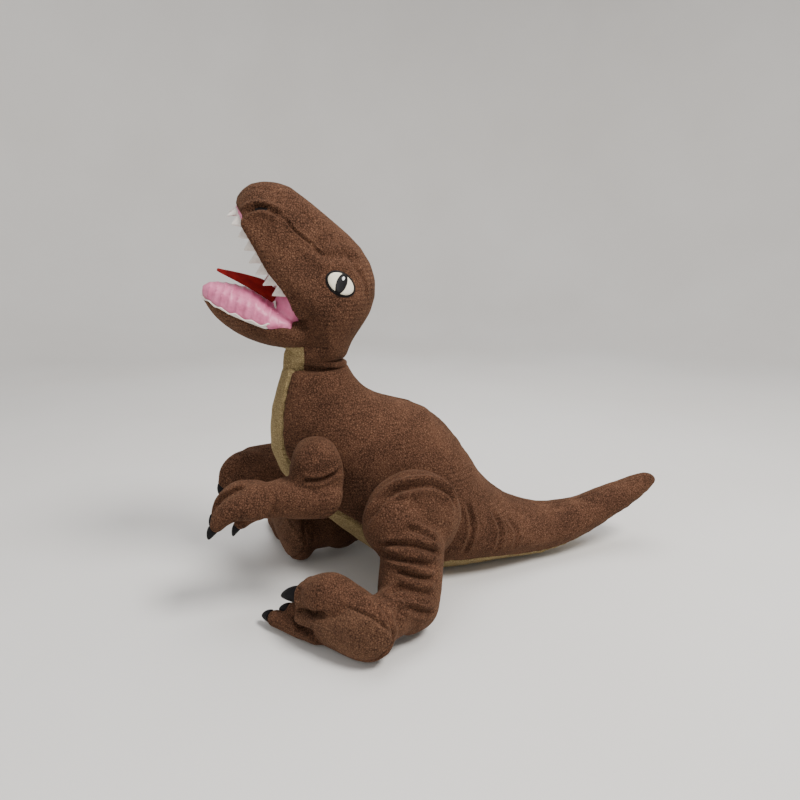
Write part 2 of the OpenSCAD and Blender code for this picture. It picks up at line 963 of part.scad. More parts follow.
module tail_base_part() {
    difference() {
        intersection() {
            children();
            tail_base_zone(0);
        }
        torso_zone(run_gap);
        below(0);
    }
}

module tail_tip_part() {
    difference() {
        children();
        tail_base_zone(run_gap);
    }
}

module tail_base_skin() {
    color(brown)
        tail_base_part()
            panel(body_rows, hip_w, [tail_u0, tail_u1], [strip_angle - 180, 180 - strip_angle],
                skin_t, tail_rings, tail_steps);
}

module tail_base_underside() {
    color(olive)
        tail_base_part()
            panel(body_rows, hip_w, [tail_u0, tail_u1], [180 - strip_angle, 180 + strip_angle],
                skin_t, tail_rings, strip_steps);
}

module tail_base_stuffing() {
    color(filling)
        tail_base_part()
            core(body_rows, hip_w, [tail_u0, tail_u1], skin_t + fit, tail_core_rings, tail_steps);
}

module tail_tip_skin() {
    color(brown)
        tail_tip_part()
            panel(body_rows, hip_w, [0, tip_u1], [strip_angle - 180, 180 - strip_angle], skin_t,
                tip_rings, tail_steps);
}

module tail_tip_underside() {
    color(olive)
        tail_tip_part()
            panel(body_rows, hip_w, [0, tip_u1], [180 - strip_angle, 180 + strip_angle], skin_t,
                tip_rings, strip_steps);
}

module tail_tip_stuffing() {
    color(filling)
        tail_tip_part()
            core(body_rows, hip_w, [0.6, tip_u1], skin_t + fit, tip_core_rings, tail_steps);
}

torso_left_panel();
torso_right_panel();
belly_panel();
seat_panel();
torso_stuffing();
pellet_bag();
neck_sleeve();
neck_stuffing();
head_left_panel();
head_right_panel();
head_top_gusset();
throat_panel();
palate_lining();
upper_teeth();
left_eye();
right_eye();
nostril_stitching();
head_stuffing();
jaw_skin();
mouth_floor_lining();
lower_teeth();
jaw_stuffing();
tongue();
left_upper_arm_skin();
left_upper_arm_stuffing();
left_forearm_skin();
left_forearm_stuffing();
left_fingers();
left_finger_claws();
right_upper_arm_skin();
right_upper_arm_stuffing();
right_forearm_skin();
right_forearm_stuffing();
right_fingers();
right_finger_claws();
left_thigh_skin();
left_thigh_stuffing();
left_shin_skin();
left_shin_stuffing();
left_foot_skin();
left_foot_sole();
left_foot_stuffing();
left_toes();
left_toe_claws();
right_thigh_skin();
right_thigh_stuffing();
right_shin_skin();
right_shin_stuffing();
right_foot_skin();
right_foot_sole();
right_foot_stuffing();
right_toes();
right_toe_claws();
tail_base_skin();
tail_base_underside();
tail_base_stuffing();
tail_tip_skin();
tail_tip_underside();
tail_tip_stuffing();
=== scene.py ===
import json
import math
from collections import Counter

import bmesh
import bpy
import numpy as np
from mathutils import Matrix, Vector, noise
from mathutils.bvhtree import BVHTree


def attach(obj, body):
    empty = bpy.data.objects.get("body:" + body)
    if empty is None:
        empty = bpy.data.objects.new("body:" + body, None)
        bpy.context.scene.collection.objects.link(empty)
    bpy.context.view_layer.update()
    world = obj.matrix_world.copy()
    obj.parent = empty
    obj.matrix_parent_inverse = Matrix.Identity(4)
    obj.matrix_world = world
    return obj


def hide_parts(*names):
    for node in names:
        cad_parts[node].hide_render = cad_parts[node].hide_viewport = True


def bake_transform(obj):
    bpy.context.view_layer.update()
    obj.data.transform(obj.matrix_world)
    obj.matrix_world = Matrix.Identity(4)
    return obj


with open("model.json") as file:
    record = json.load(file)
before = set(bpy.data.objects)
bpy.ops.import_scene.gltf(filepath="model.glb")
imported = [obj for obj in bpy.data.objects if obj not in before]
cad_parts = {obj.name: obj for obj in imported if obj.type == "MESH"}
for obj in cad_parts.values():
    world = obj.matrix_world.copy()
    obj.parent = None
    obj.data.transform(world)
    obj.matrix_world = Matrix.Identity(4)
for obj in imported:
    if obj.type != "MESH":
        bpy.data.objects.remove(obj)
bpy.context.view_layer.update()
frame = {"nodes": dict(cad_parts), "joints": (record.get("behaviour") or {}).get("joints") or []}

# Metres, +Z up. The toy faces -Y and its left side is +X.
MM = 0.001
UP = Vector((0, 0, 1))
PIVOT = {j["name"]: Vector(j["pos_m"]) for j in frame["joints"]}
SKIN_VOXEL = 2.6 * MM
SKIN_THICK = 1.6 * MM
# How far the cloth stays above the origin's plane, and the floor below it
FLOOR_GAP = 0.2 * MM


def spot(joint, x, y, z):
    """A point that far, in millimetres, from a joint's pivot."""
    return PIVOT[joint] + Vector((x, y, z)) * MM


def srgb(*values):
    """A linear colour from the usual 0 to 255 values."""
    return tuple(((c / 255 + 0.055) / 1.055) ** 2.4 if c > 10 else c / 3295 for c in values) + (1,)


# ---- mesh tools


def add(name, mesh):
    obj = bpy.data.objects.new(name, mesh)
    bpy.context.scene.collection.objects.link(obj)
    return obj


def to_mesh(name, bm):
    """The mesh of a bmesh, which is freed."""
    mesh = bpy.data.meshes.new(name)
    bm.to_mesh(mesh)
    bm.free()
    return mesh


def panels(bm, rows, closed=False):
    """Faces between each row of points and the next, all the way round where the rows are closed."""
    for near, far in zip(rows, rows[1:]):
        for k in range(len(near) - (not closed)):
            m = (k + 1) % len(near)
            bm.faces.new((near[k], far[k], far[m], near[m]))


def read(items, name, width, kind=np.float32):
    """One array from a property of many items."""
    values = np.empty(len(items) * width, kind)
    items.foreach_get(name, values)
    return values.reshape(-1, width)


def points(mesh):
    return read(mesh.vertices, "co", 3).astype(float)


def put(mesh, co):
    mesh.vertices.foreach_set("co", co.astype(np.float32).ravel())
    mesh.update()


def normals(mesh):
    return read(mesh.vertex_normals, "vector", 3).astype(float)


def edges(mesh):
    return read(mesh.edges, "vertices", 2, np.int32)


def store(mesh, name, vectors):
    """Keeps a vector at each vertex, as an attribute of the mesh."""
    kept = mesh.attributes.get(name) or mesh.attributes.new(name, "FLOAT_VECTOR", "POINT")
    kept.data.foreach_set("vector", vectors.astype(np.float32).ravel())


def settle(obj):
    """Applies the modifiers."""
    graph = bpy.context.evaluated_depsgraph_get()
    mesh = bpy.data.meshes.new_from_object(obj.evaluated_get(graph))
    obj.modifiers.clear()
    obj.data = mesh


def largest(mesh):
    """Keeps only the island with the most vertices, which is the outside of a fused volume."""
    bm = bmesh.new()
    bm.from_mesh(mesh)
    bm.verts.ensure_lookup_table()
    seen, best = set(), []
    for v in bm.verts:
        if v.index in seen:
            continue
        island, todo = [], [v]
        seen.add(v.index)
        while todo:
            a = todo.pop()
            island.append(a)
            for e in a.link_edges:
                b = e.other_vert(a)
                if b.index not in seen:
                    seen.add(b.index)
                    todo.append(b)
        if len(island) > len(best):
            best = island
    keep = {v.index for v in best}
    bmesh.ops.delete(bm, geom=[v for v in bm.verts if v.index not in keep], context="VERTS")
    bm.to_mesh(mesh)
    bm.free()


def fuse(name, nodes, voxel=SKIN_VOXEL, extra=()):
    """One closed mesh round copies of CAD nodes, for the skin that is sewn over them."""
    bm = bmesh.new()
    for n in nodes:
        bm.from_mesh(frame["nodes"][n].data)
    for mesh in extra:
        bm.from_mesh(mesh)
    obj = add(name, to_mesh(name, bm))
    remesh = obj.modifiers.new("fuse", "REMESH")
    remesh.mode = "VOXEL"
    remesh.voxel_size = voxel
    settle(obj)
    largest(obj.data)
    return obj


def relax(mesh, rounds, mask=1.0, hold=0.53, pull=0.5):
    """Smooths a mesh. A hold above pull keeps its volume."""
    co, e = points(mesh), edges(mesh)
    count = np.bincount(e.ravel(), minlength=len(co))[:, None].clip(1)
    weight = np.broadcast_to(np.asarray(mask, float), (len(co),))[:, None]
    for i in range(rounds):
        for step in (pull, -hold) if hold else (pull,):
            total = np.zeros_like(co)
            for k in range(3):
                total[:, k] = np.bincount(e[:, 0], co[e[:, 1], k], len(co))
                total[:, k] += np.bincount(e[:, 1], co[e[:, 0], k], len(co))
            co += step * weight * (total / count - co)
    put(mesh, co)


def spread(mesh, values, rounds):
    """Smooths a value over a mesh."""
    e, v = edges(mesh), np.array(values, float)
    count = np.bincount(e.ravel(), minlength=len(v)).clip(1)
    for i in range(rounds):
        v = (np.bincount(e[:, 0], v[e[:, 1]], len(v)) + np.bincount(e[:, 1], v[e[:, 0]], len(v))) / count
    return v


def finer(obj):
    """Subdivides a piece once."""
    sub = obj.modifiers.new("finer", "SUBSURF")
    sub.levels = sub.render_levels = 1
    settle(obj)


def solidify(obj, thick, offset=-1):
    """Gives a sheet its thickness, inward, or to both sides where the offset is 0."""
    solid = obj.modifiers.new("thick", "SOLIDIFY")
    solid.thickness = thick
    solid.offset = offset
    settle(obj)


def tree_of(*things):
    """Closest-point tree of some CAD nodes and meshes."""
    bm = bmesh.new()
    for thing in things:
        bm.from_mesh(thing if isinstance(thing, bpy.types.Mesh) else frame["nodes"][thing].data)
    tree = BVHTree.FromBMesh(bm)
    bm.free()
    return tree


def ball(centre, radii, tilt=0):
    """Ellipsoid, in millimetres, tilted about X, that fills out a skin."""
    place = Matrix.Translation(Vector(centre) * MM) @ Matrix.Rotation(math.radians(tilt), 4, "X")
    place = place @ Matrix.Diagonal((*(r * MM for r in radii), 1))
    bm = bmesh.new()
    bmesh.ops.create_icosphere(bm, subdivisions=4, radius=1, matrix=place)
    return to_mesh("filler", bm)


def beads(path, radii):
    """Overlapping balls along a smooth path, for a stuffed limb or finger. The radii are in millimetres."""
    bm = bmesh.new()
    curve = curve_through(path, 8)
    for i, p in enumerate(curve):
        u = i / (len(curve) - 1) * (len(radii) - 1)
        k = min(int(u), len(radii) - 2)
        r = radii[k] + (radii[k + 1] - radii[k]) * (u - k)
        bmesh.ops.create_icosphere(bm, subdivisions=3, radius=r * MM, matrix=Matrix.Translation(Vector(p)))
    return to_mesh("filler", bm)


def away(co, tree):
    """Distance of each point from a tree."""
    return np.array([tree.find_nearest(p)[3] for p in co])


def between(co, first, second):
    """Below zero nearer to the first CAD nodes, above zero nearer to the second."""
    return away(co, tree_of(*first)) - away(co, tree_of(*second))


def smooth_step(x, low, high):
    t = np.clip((x - low) / (high - low), 0, 1)
    return t * t * (3 - 2 * t)


def wobble(co, size, seed=0):
    """Smooth noise of about -1 to 1, with features of that size in metres."""
    shift = Vector((seed * 7.3, seed * 3.1, seed * 5.7))
    return np.array([noise.noise(Vector(p) / size + shift) for p in co])


def line_gap(co, path):
    """Distance of each point from a line of points, and how far along the line that is, 0 to 1."""
    path = [np.array(p, float) for p in path]
    lengths = [np.linalg.norm(b - a) for a, b in zip(path, path[1:])]
    best, place, done = np.full(len(co), 1e9), np.zeros(len(co)), 0.0
    for a, b, l in zip(path, path[1:], lengths):
        t = np.clip((co - a) @ (b - a) / (l * l), 0, 1)
        gap = np.linalg.norm(co - a - t[:, None] * (b - a), axis=1)
        nearer = gap < best
        best[nearer] = gap[nearer]
        place[nearer] = (done + t[nearer] * l) / sum(lengths)
        done += l
    return best, place


def curve_through(path, count=24):
    """Smooth line through a few points."""
    p = [np.array(x, float) for x in path]
    p = [2 * p[0] - p[1]] + p + [2 * p[-1] - p[-2]]
    out = []
    for i in range(1, len(p) - 2):
        for k in range(count):
            t = k / count
            slope = p[i + 1] - p[i - 1]
            bend = 2 * p[i - 1] - 5 * p[i] + 4 * p[i + 1] - p[i + 2]
            twist = 3 * p[i] - p[i - 1] - 3 * p[i + 1] + p[i + 2]
            out.append(0.5 * (2 * p[i] + slope * t + bend * t * t + twist * t**3))
    return out + [p[-2]]


def fold(mesh, path, width, depth, lip=0.35, taper=0.18):
    """Presses a fold into the skin along a line, with a soft lip on each side and shallow ends."""
    co, n = points(mesh), normals(mesh)
    tree = tree_of(mesh)
    gap, place = line_gap(co, [tree.find_nearest(Vector(p))[0] for p in curve_through(path, 8)])
    w, d = width * MM, depth * MM
    ends = smooth_step(np.minimum(place, 1 - place), 0, taper) if taper else 1.0
    shape = np.exp(-((gap / w) ** 2)) - lip * np.exp(-(((gap - 2 * w) / w) ** 2))
    put(mesh, co - n * (d * shape * ends)[:, None])


def seam(mesh, value, width=1.6, depth=1.0, lip=0.25):
    """Presses a sewn seam into the skin where a value that is like a distance passes through zero."""
    co, n = points(mesh), normals(mesh)
    w = width * MM
    shape = np.exp(-((value / w) ** 2)) - lip * np.exp(-(((np.abs(value) - 2.2 * w) / w) ** 2))
    put(mesh, co - n * (depth * MM * shape)[:, None])


def gathers(mesh, origin, axis, pitch, depth, reach, mask=1.0, seed=0):
    """Presses soft gathers across an axis, uneven in pitch and depth, over a stretch of it."""
    co, n = points(mesh), normals(mesh)
    a = np.array(Vector(axis).normalized())
    s = (co - np.array(origin)) @ a
    phase = s / (pitch * MM) + 0.55 * wobble(co, 0.03, seed)
    inside = smooth_step(s, reach[0] * MM, (reach[0] + pitch) * MM)
    inside *= 1 - smooth_step(s, (reach[1] - pitch) * MM, reach[1] * MM)
    height = np.sin(2 * math.pi * phase) - 0.35 * np.cos(4 * math.pi * phase)
    strength = 0.55 + 0.45 * wobble(co, 0.022, seed + 5)
    put(mesh, co + n * (depth * MM * height * strength * inside * mask)[:, None])


def cut(obj, value):
    """Splits faces along the line where a vertex value passes through zero. Returns each vertex's value."""
    bm = bmesh.new()
    bm.from_mesh(obj.data)
    layer = bm.verts.layers.float.new("cut")
    for v, x in zip(bm.verts, value):
        v[layer] = float(x) if abs(x) > 1e-6 else 1e-6
    fresh = []
    for e in list(bm.edges):
        a, b = e.verts
        fa, fb = a[layer], b[layer]
        if (fa < 0) != (fb < 0):
            made = bmesh.utils.edge_split(e, a, fa / (fa - fb))[1]
            made[layer] = 0
            fresh.append(made)
    bmesh.ops.connect_verts(bm, verts=fresh)
    bm.to_mesh(obj.data)
    bm.free()
    kept = obj.data.attributes["cut"]
    value = read(kept.data, "value", 1)[:, 0]
    obj.data.attributes.remove(kept)
    return value


def take(obj, name, value):
    """Moves the faces whose value is below zero to a new object."""
    bm = bmesh.new()
    bm.from_mesh(obj.data)
    bm.faces.ensure_lookup_table()
    picked = [sum(value[v.index] for v in f.verts) < 0 for f in bm.faces]
    other = bm.copy()
    other.faces.ensure_lookup_table()
    bmesh.ops.delete(bm, geom=[f for f, p in zip(bm.faces, picked) if p], context="FACES")
    bmesh.ops.delete(other, geom=[f for f, p in zip(other.faces, picked) if not p], context="FACES")
    bm.to_mesh(obj.data)
    bm.free()
    return add(name, to_mesh(name, other))


def cut_off(obj, name, value):
    """Cuts along the zero line of a value and moves the part below zero to a new object."""
    return take(obj, name, cut(obj, value))


def remember(mesh):
    """Stores each vertex's smooth normal, so that pieces cut from one skin still shade as one."""
    store(mesh, "skin_normal", normals(mesh))


def thicken(obj):
    """Gives an open skin its thickness, inward, and brings back the normals of the whole skin."""
    outer = len(obj.data.vertices)
    solidify(obj, SKIN_THICK)
    mesh = obj.data
    stored = mesh.attributes.get("skin_normal")
    n = read(stored.data, "vector", 3)
    n[outer:] *= -1
    size = np.linalg.norm(n, axis=1)[:, None].clip(1e-6)
    mesh.attributes.remove(stored)
    mesh.normals_split_custom_set_from_vertices((n / size).tolist())


def finish(obj, material, replaces=(), body=None, blend=None):
    """Gives a piece its material, hides the CAD nodes that it replaces, and hangs it on its body, or bakes
    its transform if it blends.
    """
    mesh = obj.data
    mesh.materials.clear()
    mesh.materials.append(material)
    for polygon in mesh.polygons:
        polygon.material_index = 0
    mesh.shade_smooth()
    store(mesh, "rest", points(mesh))
    if replaces:
        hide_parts(*replaces)
    if blend:
        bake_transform(obj)
    else:
        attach(obj, body)
    return obj


# ---- materials


class Recipe:
    """A material whose nodes are added one at a time."""

    def __init__(self, name, **shader):
        self.material = bpy.data.materials.new(name)
        self.material.use_nodes = True
        self.tree = self.material.node_tree
        self.shader = self.tree.nodes["Principled BSDF"]
        for key, value in shader.items():
            self.shader.inputs[key.replace("_", " ")].default_value = value

    def node(self, kind, inputs=None, **settings):
        n = self.tree.nodes.new("ShaderNode" + kind)
        for key, value in settings.items():
            setattr(n, key, value)
        for key, value in (inputs or {}).items():
            if isinstance(value, bpy.types.NodeSocket):
                self.tree.links.new(value, n.inputs[key])
            else:
                n.inputs[key].default_value = value
        return n

    def feed(self, name, socket):
        self.tree.links.new(socket, self.shader.inputs[name])

    def rest(self):
        """Where each point is at rest, so that a pattern moves with the cloth."""
        return self.node("Attribute", attribute_name="rest").outputs["Vector"]

    def noise(self, place, size, detail=2.0, rough=0.5):
        n = self.node("TexNoise", {"Vector": place, "Scale": 1 / size, "Detail": detail, "Roughness": rough})
        return n.outputs["Fac"]

    def wave(self, place, pitch, distortion, detail, detail_scale, across):
        inputs = {"Vector": place, "Scale": 1 / pitch, "Distortion": distortion}
        inputs |= {"Detail": detail, "Detail Scale": detail_scale}
        return self.node("TexWave", inputs, bands_direction=across).outputs["Fac"]

    def math(self, how, a, b=0.0, c=0.0):
        return self.node("Math", {0: a, 1: b, 2: c}, operation=how).outputs[0]

    def ramp(self, value, *stops):
        n = self.node("ValToRGB", {"Fac": value})
        colours = n.color_ramp.elements
        colours[0].position, colours[0].color = stops[0]
        colours[1].position, colours[1].color = stops[-1]
        for place, colour in stops[1:-1]:
            colours.new(place).color = colour
        return n.outputs["Color"]

    def bump(self, height, strength, depth):
        n = self.node("Bump", {"Height": height, "Strength": strength, "Distance": depth})
        self.feed("Normal", n.outputs["Normal"])


def plush(name, dark, mid, light, sheen=0.22):
    """Short velour pile: an uneven grain, dark specks between the tufts, and faint knit rows in patches."""
    r = Recipe(name, Roughness=0.95, Sheen_Weight=sheen, Sheen_Roughness=0.55, Sheen_Tint=light)
    r.shader.inputs["Specular IOR Level"].default_value = 0.08
    rest = r.rest()
    drift = r.node("TexNoise", {"Vector": rest, "Scale": 1 / (5 * MM), "Detail": 1.0}).outputs["Color"]
    bent = r.node("VectorMath", {0: drift, 1: (2.0 * MM,) * 3, 2: rest}, operation="MULTIPLY_ADD").outputs[0]
    cells = {"Vector": bent, "Scale": 1 / (2.1 * MM), "Randomness": 1.0}
    tufts = r.node("TexVoronoi", cells, feature="DISTANCE_TO_EDGE").outputs["Distance"]
    crown = r.math("MINIMUM", r.math("MULTIPLY", tufts, 3.2), 1.0)
    pile = r.noise(rest, 0.9 * MM, 2.0, 0.7)
    grain = r.noise(bent, 1.5 * MM, 2.0, 0.6)
    nap = r.noise(rest, 28 * MM, 3.0, 0.55)
    rows = r.wave(rest, 14 * MM, 2.5, 1.0, 1 / (3 * MM), "Z")
    patches = r.node("MapRange", {"Value": r.noise(rest, 45 * MM, 1.0), "From Min": 0.5, "From Max": 0.68})
    knit = r.math("MULTIPLY", r.math("SUBTRACT", rows, 0.5), patches.outputs["Result"])
    tone = r.math("MULTIPLY_ADD", crown, 0.16, r.math("MULTIPLY", pile, 0.34))
    tone = r.math("ADD", tone, r.math("MULTIPLY", grain, 0.42))
    tone = r.math("ADD", tone, r.math("MULTIPLY_ADD", nap, 0.22, -0.13))
    tone = r.math("ADD", tone, r.math("MULTIPLY", knit, 0.08))
    r.feed("Base Color", r.ramp(tone, (0.30, dark), (0.54, mid), (0.84, light)))
    height = r.math("MULTIPLY_ADD", crown, 0.5, pile)
    height = r.math("ADD", height, r.math("MULTIPLY_ADD", knit, 0.35, grain))
    r.bump(height, 0.55, 0.8 * MM)
    return r.material


def satin(name, dark, light):
    """Thin satin lining with a fine weave and soft puckers."""
    r = Recipe(name, Roughness=0.42, Sheen_Weight=0.25, Sheen_Roughness=0.3, Sheen_Tint=light)
    rest = r.rest()
    pucker = r.noise(rest, 9 * MM, 3.0)
    thread = r.noise(rest, 0.5 * MM, 1.0)
    r.feed("Base Color", r.ramp(r.math("MULTIPLY_ADD", thread, 0.25, pucker), (0.35, dark), (0.85, light)))
    r.bump(r.math("MULTIPLY_ADD", thread, 0.3, pucker), 0.35, 0.8 * MM)
    return r.material


def felt(name, dark, light, through=0.0):
    """Pressed felt with a matted fibre grain."""
    r = Recipe(name, Roughness=0.95, Sheen_Weight=0.3, Sheen_Roughness=0.5, Sheen_Tint=light)
    r.shader.inputs["Specular IOR Level"].default_value = 0.1
    if through:
        r.shader.inputs["Subsurface Weight"].default_value = through
        r.shader.inputs["Subsurface Radius"].default_value = (1.0, 0.9, 0.85)
        r.shader.inputs["Subsurface Scale"].default_value = 3 * MM
    rest = r.rest()
    fibre = r.noise(rest, 0.7 * MM, 4.0, 0.75)
    cloud = r.noise(rest, 6 * MM, 2.0)
    tone = r.math("MULTIPLY_ADD", cloud, 0.5, r.math("MULTIPLY", fibre, 0.5))
    r.feed("Base Color", r.ramp(tone, (0.3, dark), (0.7, light)))
    r.bump(fibre, 0.5, 0.5 * MM)
    return r.material


def embroidery(name, dark, light, turn=0.6):
    """Close parallel stitches of thread."""
    r = Recipe(name, Roughness=0.45, Sheen_Weight=0.2, Sheen_Roughness=0.3, Sheen_Tint=light)
    turning = {"Vector": r.rest(), "Angle": turn, "Axis": (1, 0, 0)}
    turned = r.node("VectorRotate", turning, rotation_type="AXIS_ANGLE").outputs[0]
    wave = r.wave(turned, 2.6 * MM, 1.2, 2.0, 2.0, "Y")
    r.feed("Base Color", r.ramp(wave, (0.0, dark), (1.0, light)))
    r.bump(wave, 0.4, 0.35 * MM)
    return r.material


def claw_cloth(name):
    """Black cloth of the claws, with a fine uneven grain."""
    r = Recipe(name, Roughness=0.62, Sheen_Weight=0.25, Sheen_Roughness=0.4, Sheen_Tint=srgb(70, 66, 64))
    rest = r.rest()
    grain = r.noise(rest, 0.8 * MM, 3.0, 0.7)
    r.feed("Base Color", r.ramp(grain, (0.3, srgb(5, 4, 6)), (0.8, srgb(26, 24, 26))))
    r.bump(grain, 0.5, 0.5 * MM)
    return r.material


BROWN = plush("plush_brown", srgb(36, 22, 15), srgb(96, 66, 50), srgb(150, 117, 90))
OLIVE = plush("plush_olive", srgb(96, 80, 54), srgb(150, 132, 94), srgb(194, 175, 132))
SOLE = plush("plush_sole", srgb(44, 28, 20), srgb(106, 76, 58), srgb(158, 124, 97))
PINK = satin("satin_pink", srgb(178, 84, 120), srgb(214, 122, 156))
WHITE = felt("felt_white", srgb(196, 184, 176), srgb(238, 233, 226), through=0.15)
RED = felt("felt_red", srgb(104, 22, 22), srgb(150, 36, 34))
CLAW = claw_cloth("claw_black")
CREAM = embroidery("eye_cream", srgb(206, 196, 170), srgb(240, 234, 214))
BLACK = embroidery("eye_black", srgb(8, 7, 8), srgb(28, 26, 28), turn=-0.9)
GLINT = embroidery("eye_glint", srgb(225, 228, 230), srgb(250, 250, 250))
THREAD = embroidery("stitching", srgb(22, 13, 9), srgb(48, 30, 22))
for dull in (CLAW, BLACK, THREAD):
    shader = dull.node_tree.nodes["Principled BSDF"]
    shader.inputs["Specular IOR Level"].default_value = 0.12
    shader.inputs["Sheen Weight"].default_value = 0.03


# ---- camera, light and floor


def aim_at(obj, place, direction):
    """Puts a lamp or camera in its place and turns it."""
    obj.location = place
    obj.rotation_mode = "QUATERNION"
    obj.rotation_quaternion = direction.to_track_quat("-Z", "Y")


def camera():
    """The photograph's view: from the toy's left, a little in front, and slightly above."""
    turn, down = math.radians(78), math.radians(14.1)
    look = Vector((-math.sin(turn) * math.cos(down), math.cos(turn) * math.cos(down), -math.sin(down)))
    data = bpy.data.cameras.new("camera")
    data.sensor_width = 36
    data.lens = 27.045
    cam = add("camera", data)
    aim_at(cam, (0.6016, -0.1729, 0.346), look)
    bpy.context.scene.camera = cam


def lamp(name, place, aim, size, watts, colour=(1, 1, 1)):
    data = bpy.data.lights.new(name, "AREA")
    data.shape = "DISK"
    data.size = size
    data.energy = watts
    data.color = colour
    aim_at(add(name, data), place, Vector(aim) - Vector(place))


def studio():
    """Soft lamps over a pale round floor that curves up into its own backdrop."""
    middle = (0, 0, 0.18)
    lamp("key", (0.75, 0.65, 1.6), middle, 0.6, 40, (1, 0.98, 0.95))
    lamp("fill", (0.9, -1.2, 0.9), middle, 1.1, 4, (0.95, 0.98, 1))
    lamp("top", (-0.3, 0.1, 1.9), middle, 1.4, 20)
    world = bpy.data.worlds.new("studio")
    bpy.context.scene.world = world
    world.use_nodes = True
    background = world.node_tree.nodes["Background"]
    background.inputs["Color"].default_value = srgb(225, 226, 230)
    background.inputs["Strength"].default_value = 0.67
    r = Recipe("floor_paint", Roughness=0.6)
    place = r.node("TexCoord").outputs["Object"]
    stains = (0.3, srgb(212, 209, 205)), (0.75, srgb(220, 218, 215))
    r.feed("Base Color", r.ramp(r.noise(place, 0.5, 4.0), *stains))
    flat, cove, high, sides = 1.6, 0.8, 2.2, 96
    profile = [(flat * k / 8, 0.0) for k in range(1, 9)]
    for k in range(1, 17):
        a = math.pi / 32 * k
        profile.append((flat + cove * math.sin(a), cove * (1 - math.cos(a))))
    profile.append((flat + cove, high))
    bm = bmesh.new()
    rings = []
    round_ = [2 * math.pi * k / sides for k in range(sides)]
    for radius, z in profile:
        rings.append([bm.verts.new((radius * math.cos(a), radius * math.sin(a), z)) for a in round_])
    bm.faces.new(rings[0])
    panels(bm, rings, closed=True)
    mesh = to_mesh("floor", bm)
    mesh.shade_smooth()
    mesh.materials.append(r.material)
    floor = add("floor", mesh)
    floor.location = (0, 0, -FLOOR_GAP)


camera()
studio()


# ---- shared shaping


def lumps(mesh, depth, size, seed=0, mask=1.0):
    """Uneven stuffing under the skin."""
    co, n = points(mesh), normals(mesh)
    put(mesh, co + n * (depth * MM * wobble(co, size * MM, seed) * mask)[:, None])


def puckers(mesh, value, pitch=6.0, depth=0.7, reach=7.0, seed=0):
    """Small gathers that run away from a sewn seam."""
    co, n = points(mesh), normals(mesh)
    near = np.exp(-((value / (reach * MM)) ** 2))
    wave = wobble(co, pitch * MM, seed)
    put(mesh, co - n * (depth * MM * near * np.maximum(wave, -0.2))[:, None])


def ground(mesh):
    """Keeps a skin on or above the surface that the toy sits on."""
    co = points(mesh)
    co[:, 2] = np.maximum(co[:, 2], FLOOR_GAP)
    put(mesh, co)


def from_side(tree, side, pairs, far=0.3):
    """Points on a skin straight in from the side, from pairs of Y and Z in metres."""
    out = []
    for y, z in pairs:
        hit = tree.ray_cast(Vector((side * far, y, z)), Vector((-side, 0, 0)))[0]
        if hit is not None:
            out.append(hit)
    return out


def hug(mesh, side, pivot, lobe, tree, reach=20, bury=3.0, most=14.0, narrow=0.24):
    """Draws the back of a lobe in to the body beside it, narrower towards the seam, to leave no gap."""
    co = points(mesh)
    plane = abs(pivot.x) + 2 * MM
    from_pivot = np.hypot(co[:, 1] - pivot.y, co[:, 2] - pivot.z)
    near = 1 - smooth_step(co[:, 0] * side, plane, plane + reach * MM)
    near *= 1 - smooth_step(from_pivot, lobe * MM, (lobe + 14) * MM)
    for i in np.nonzero(near > 0)[0]:
        hit = tree.ray_cast(Vector((side * 0.3, co[i, 1], co[i, 2])), Vector((-side, 0, 0)))[0]
        gap = most * MM if hit is None else min(plane - hit.x * side + bury * MM, most * MM)
        co[i, 0] -= side * gap * near[i]
    for k in (1, 2):
        co[:, k] -= (co[:, k] - pivot[k]) * narrow * near ** 1.5
    put(mesh, co)


# ---- body and tail

BROWN_BODY = ["torso_left_panel", "torso_right_panel"]
# Where the tail is cut from the torso, and its tip from its base, along Y
SWING_CUT, LIFT_CUT = 0.0, 0.090
# Creases at the tail's root: along Y, their top and foot, and their depth in millimetres
TAIL_CREASES = [(0.012, 0.093, 0.036, 2.4), (0.048, 0.080, 0.030, 2.0), (0.070, 0.072, 0.028, 1.6)]


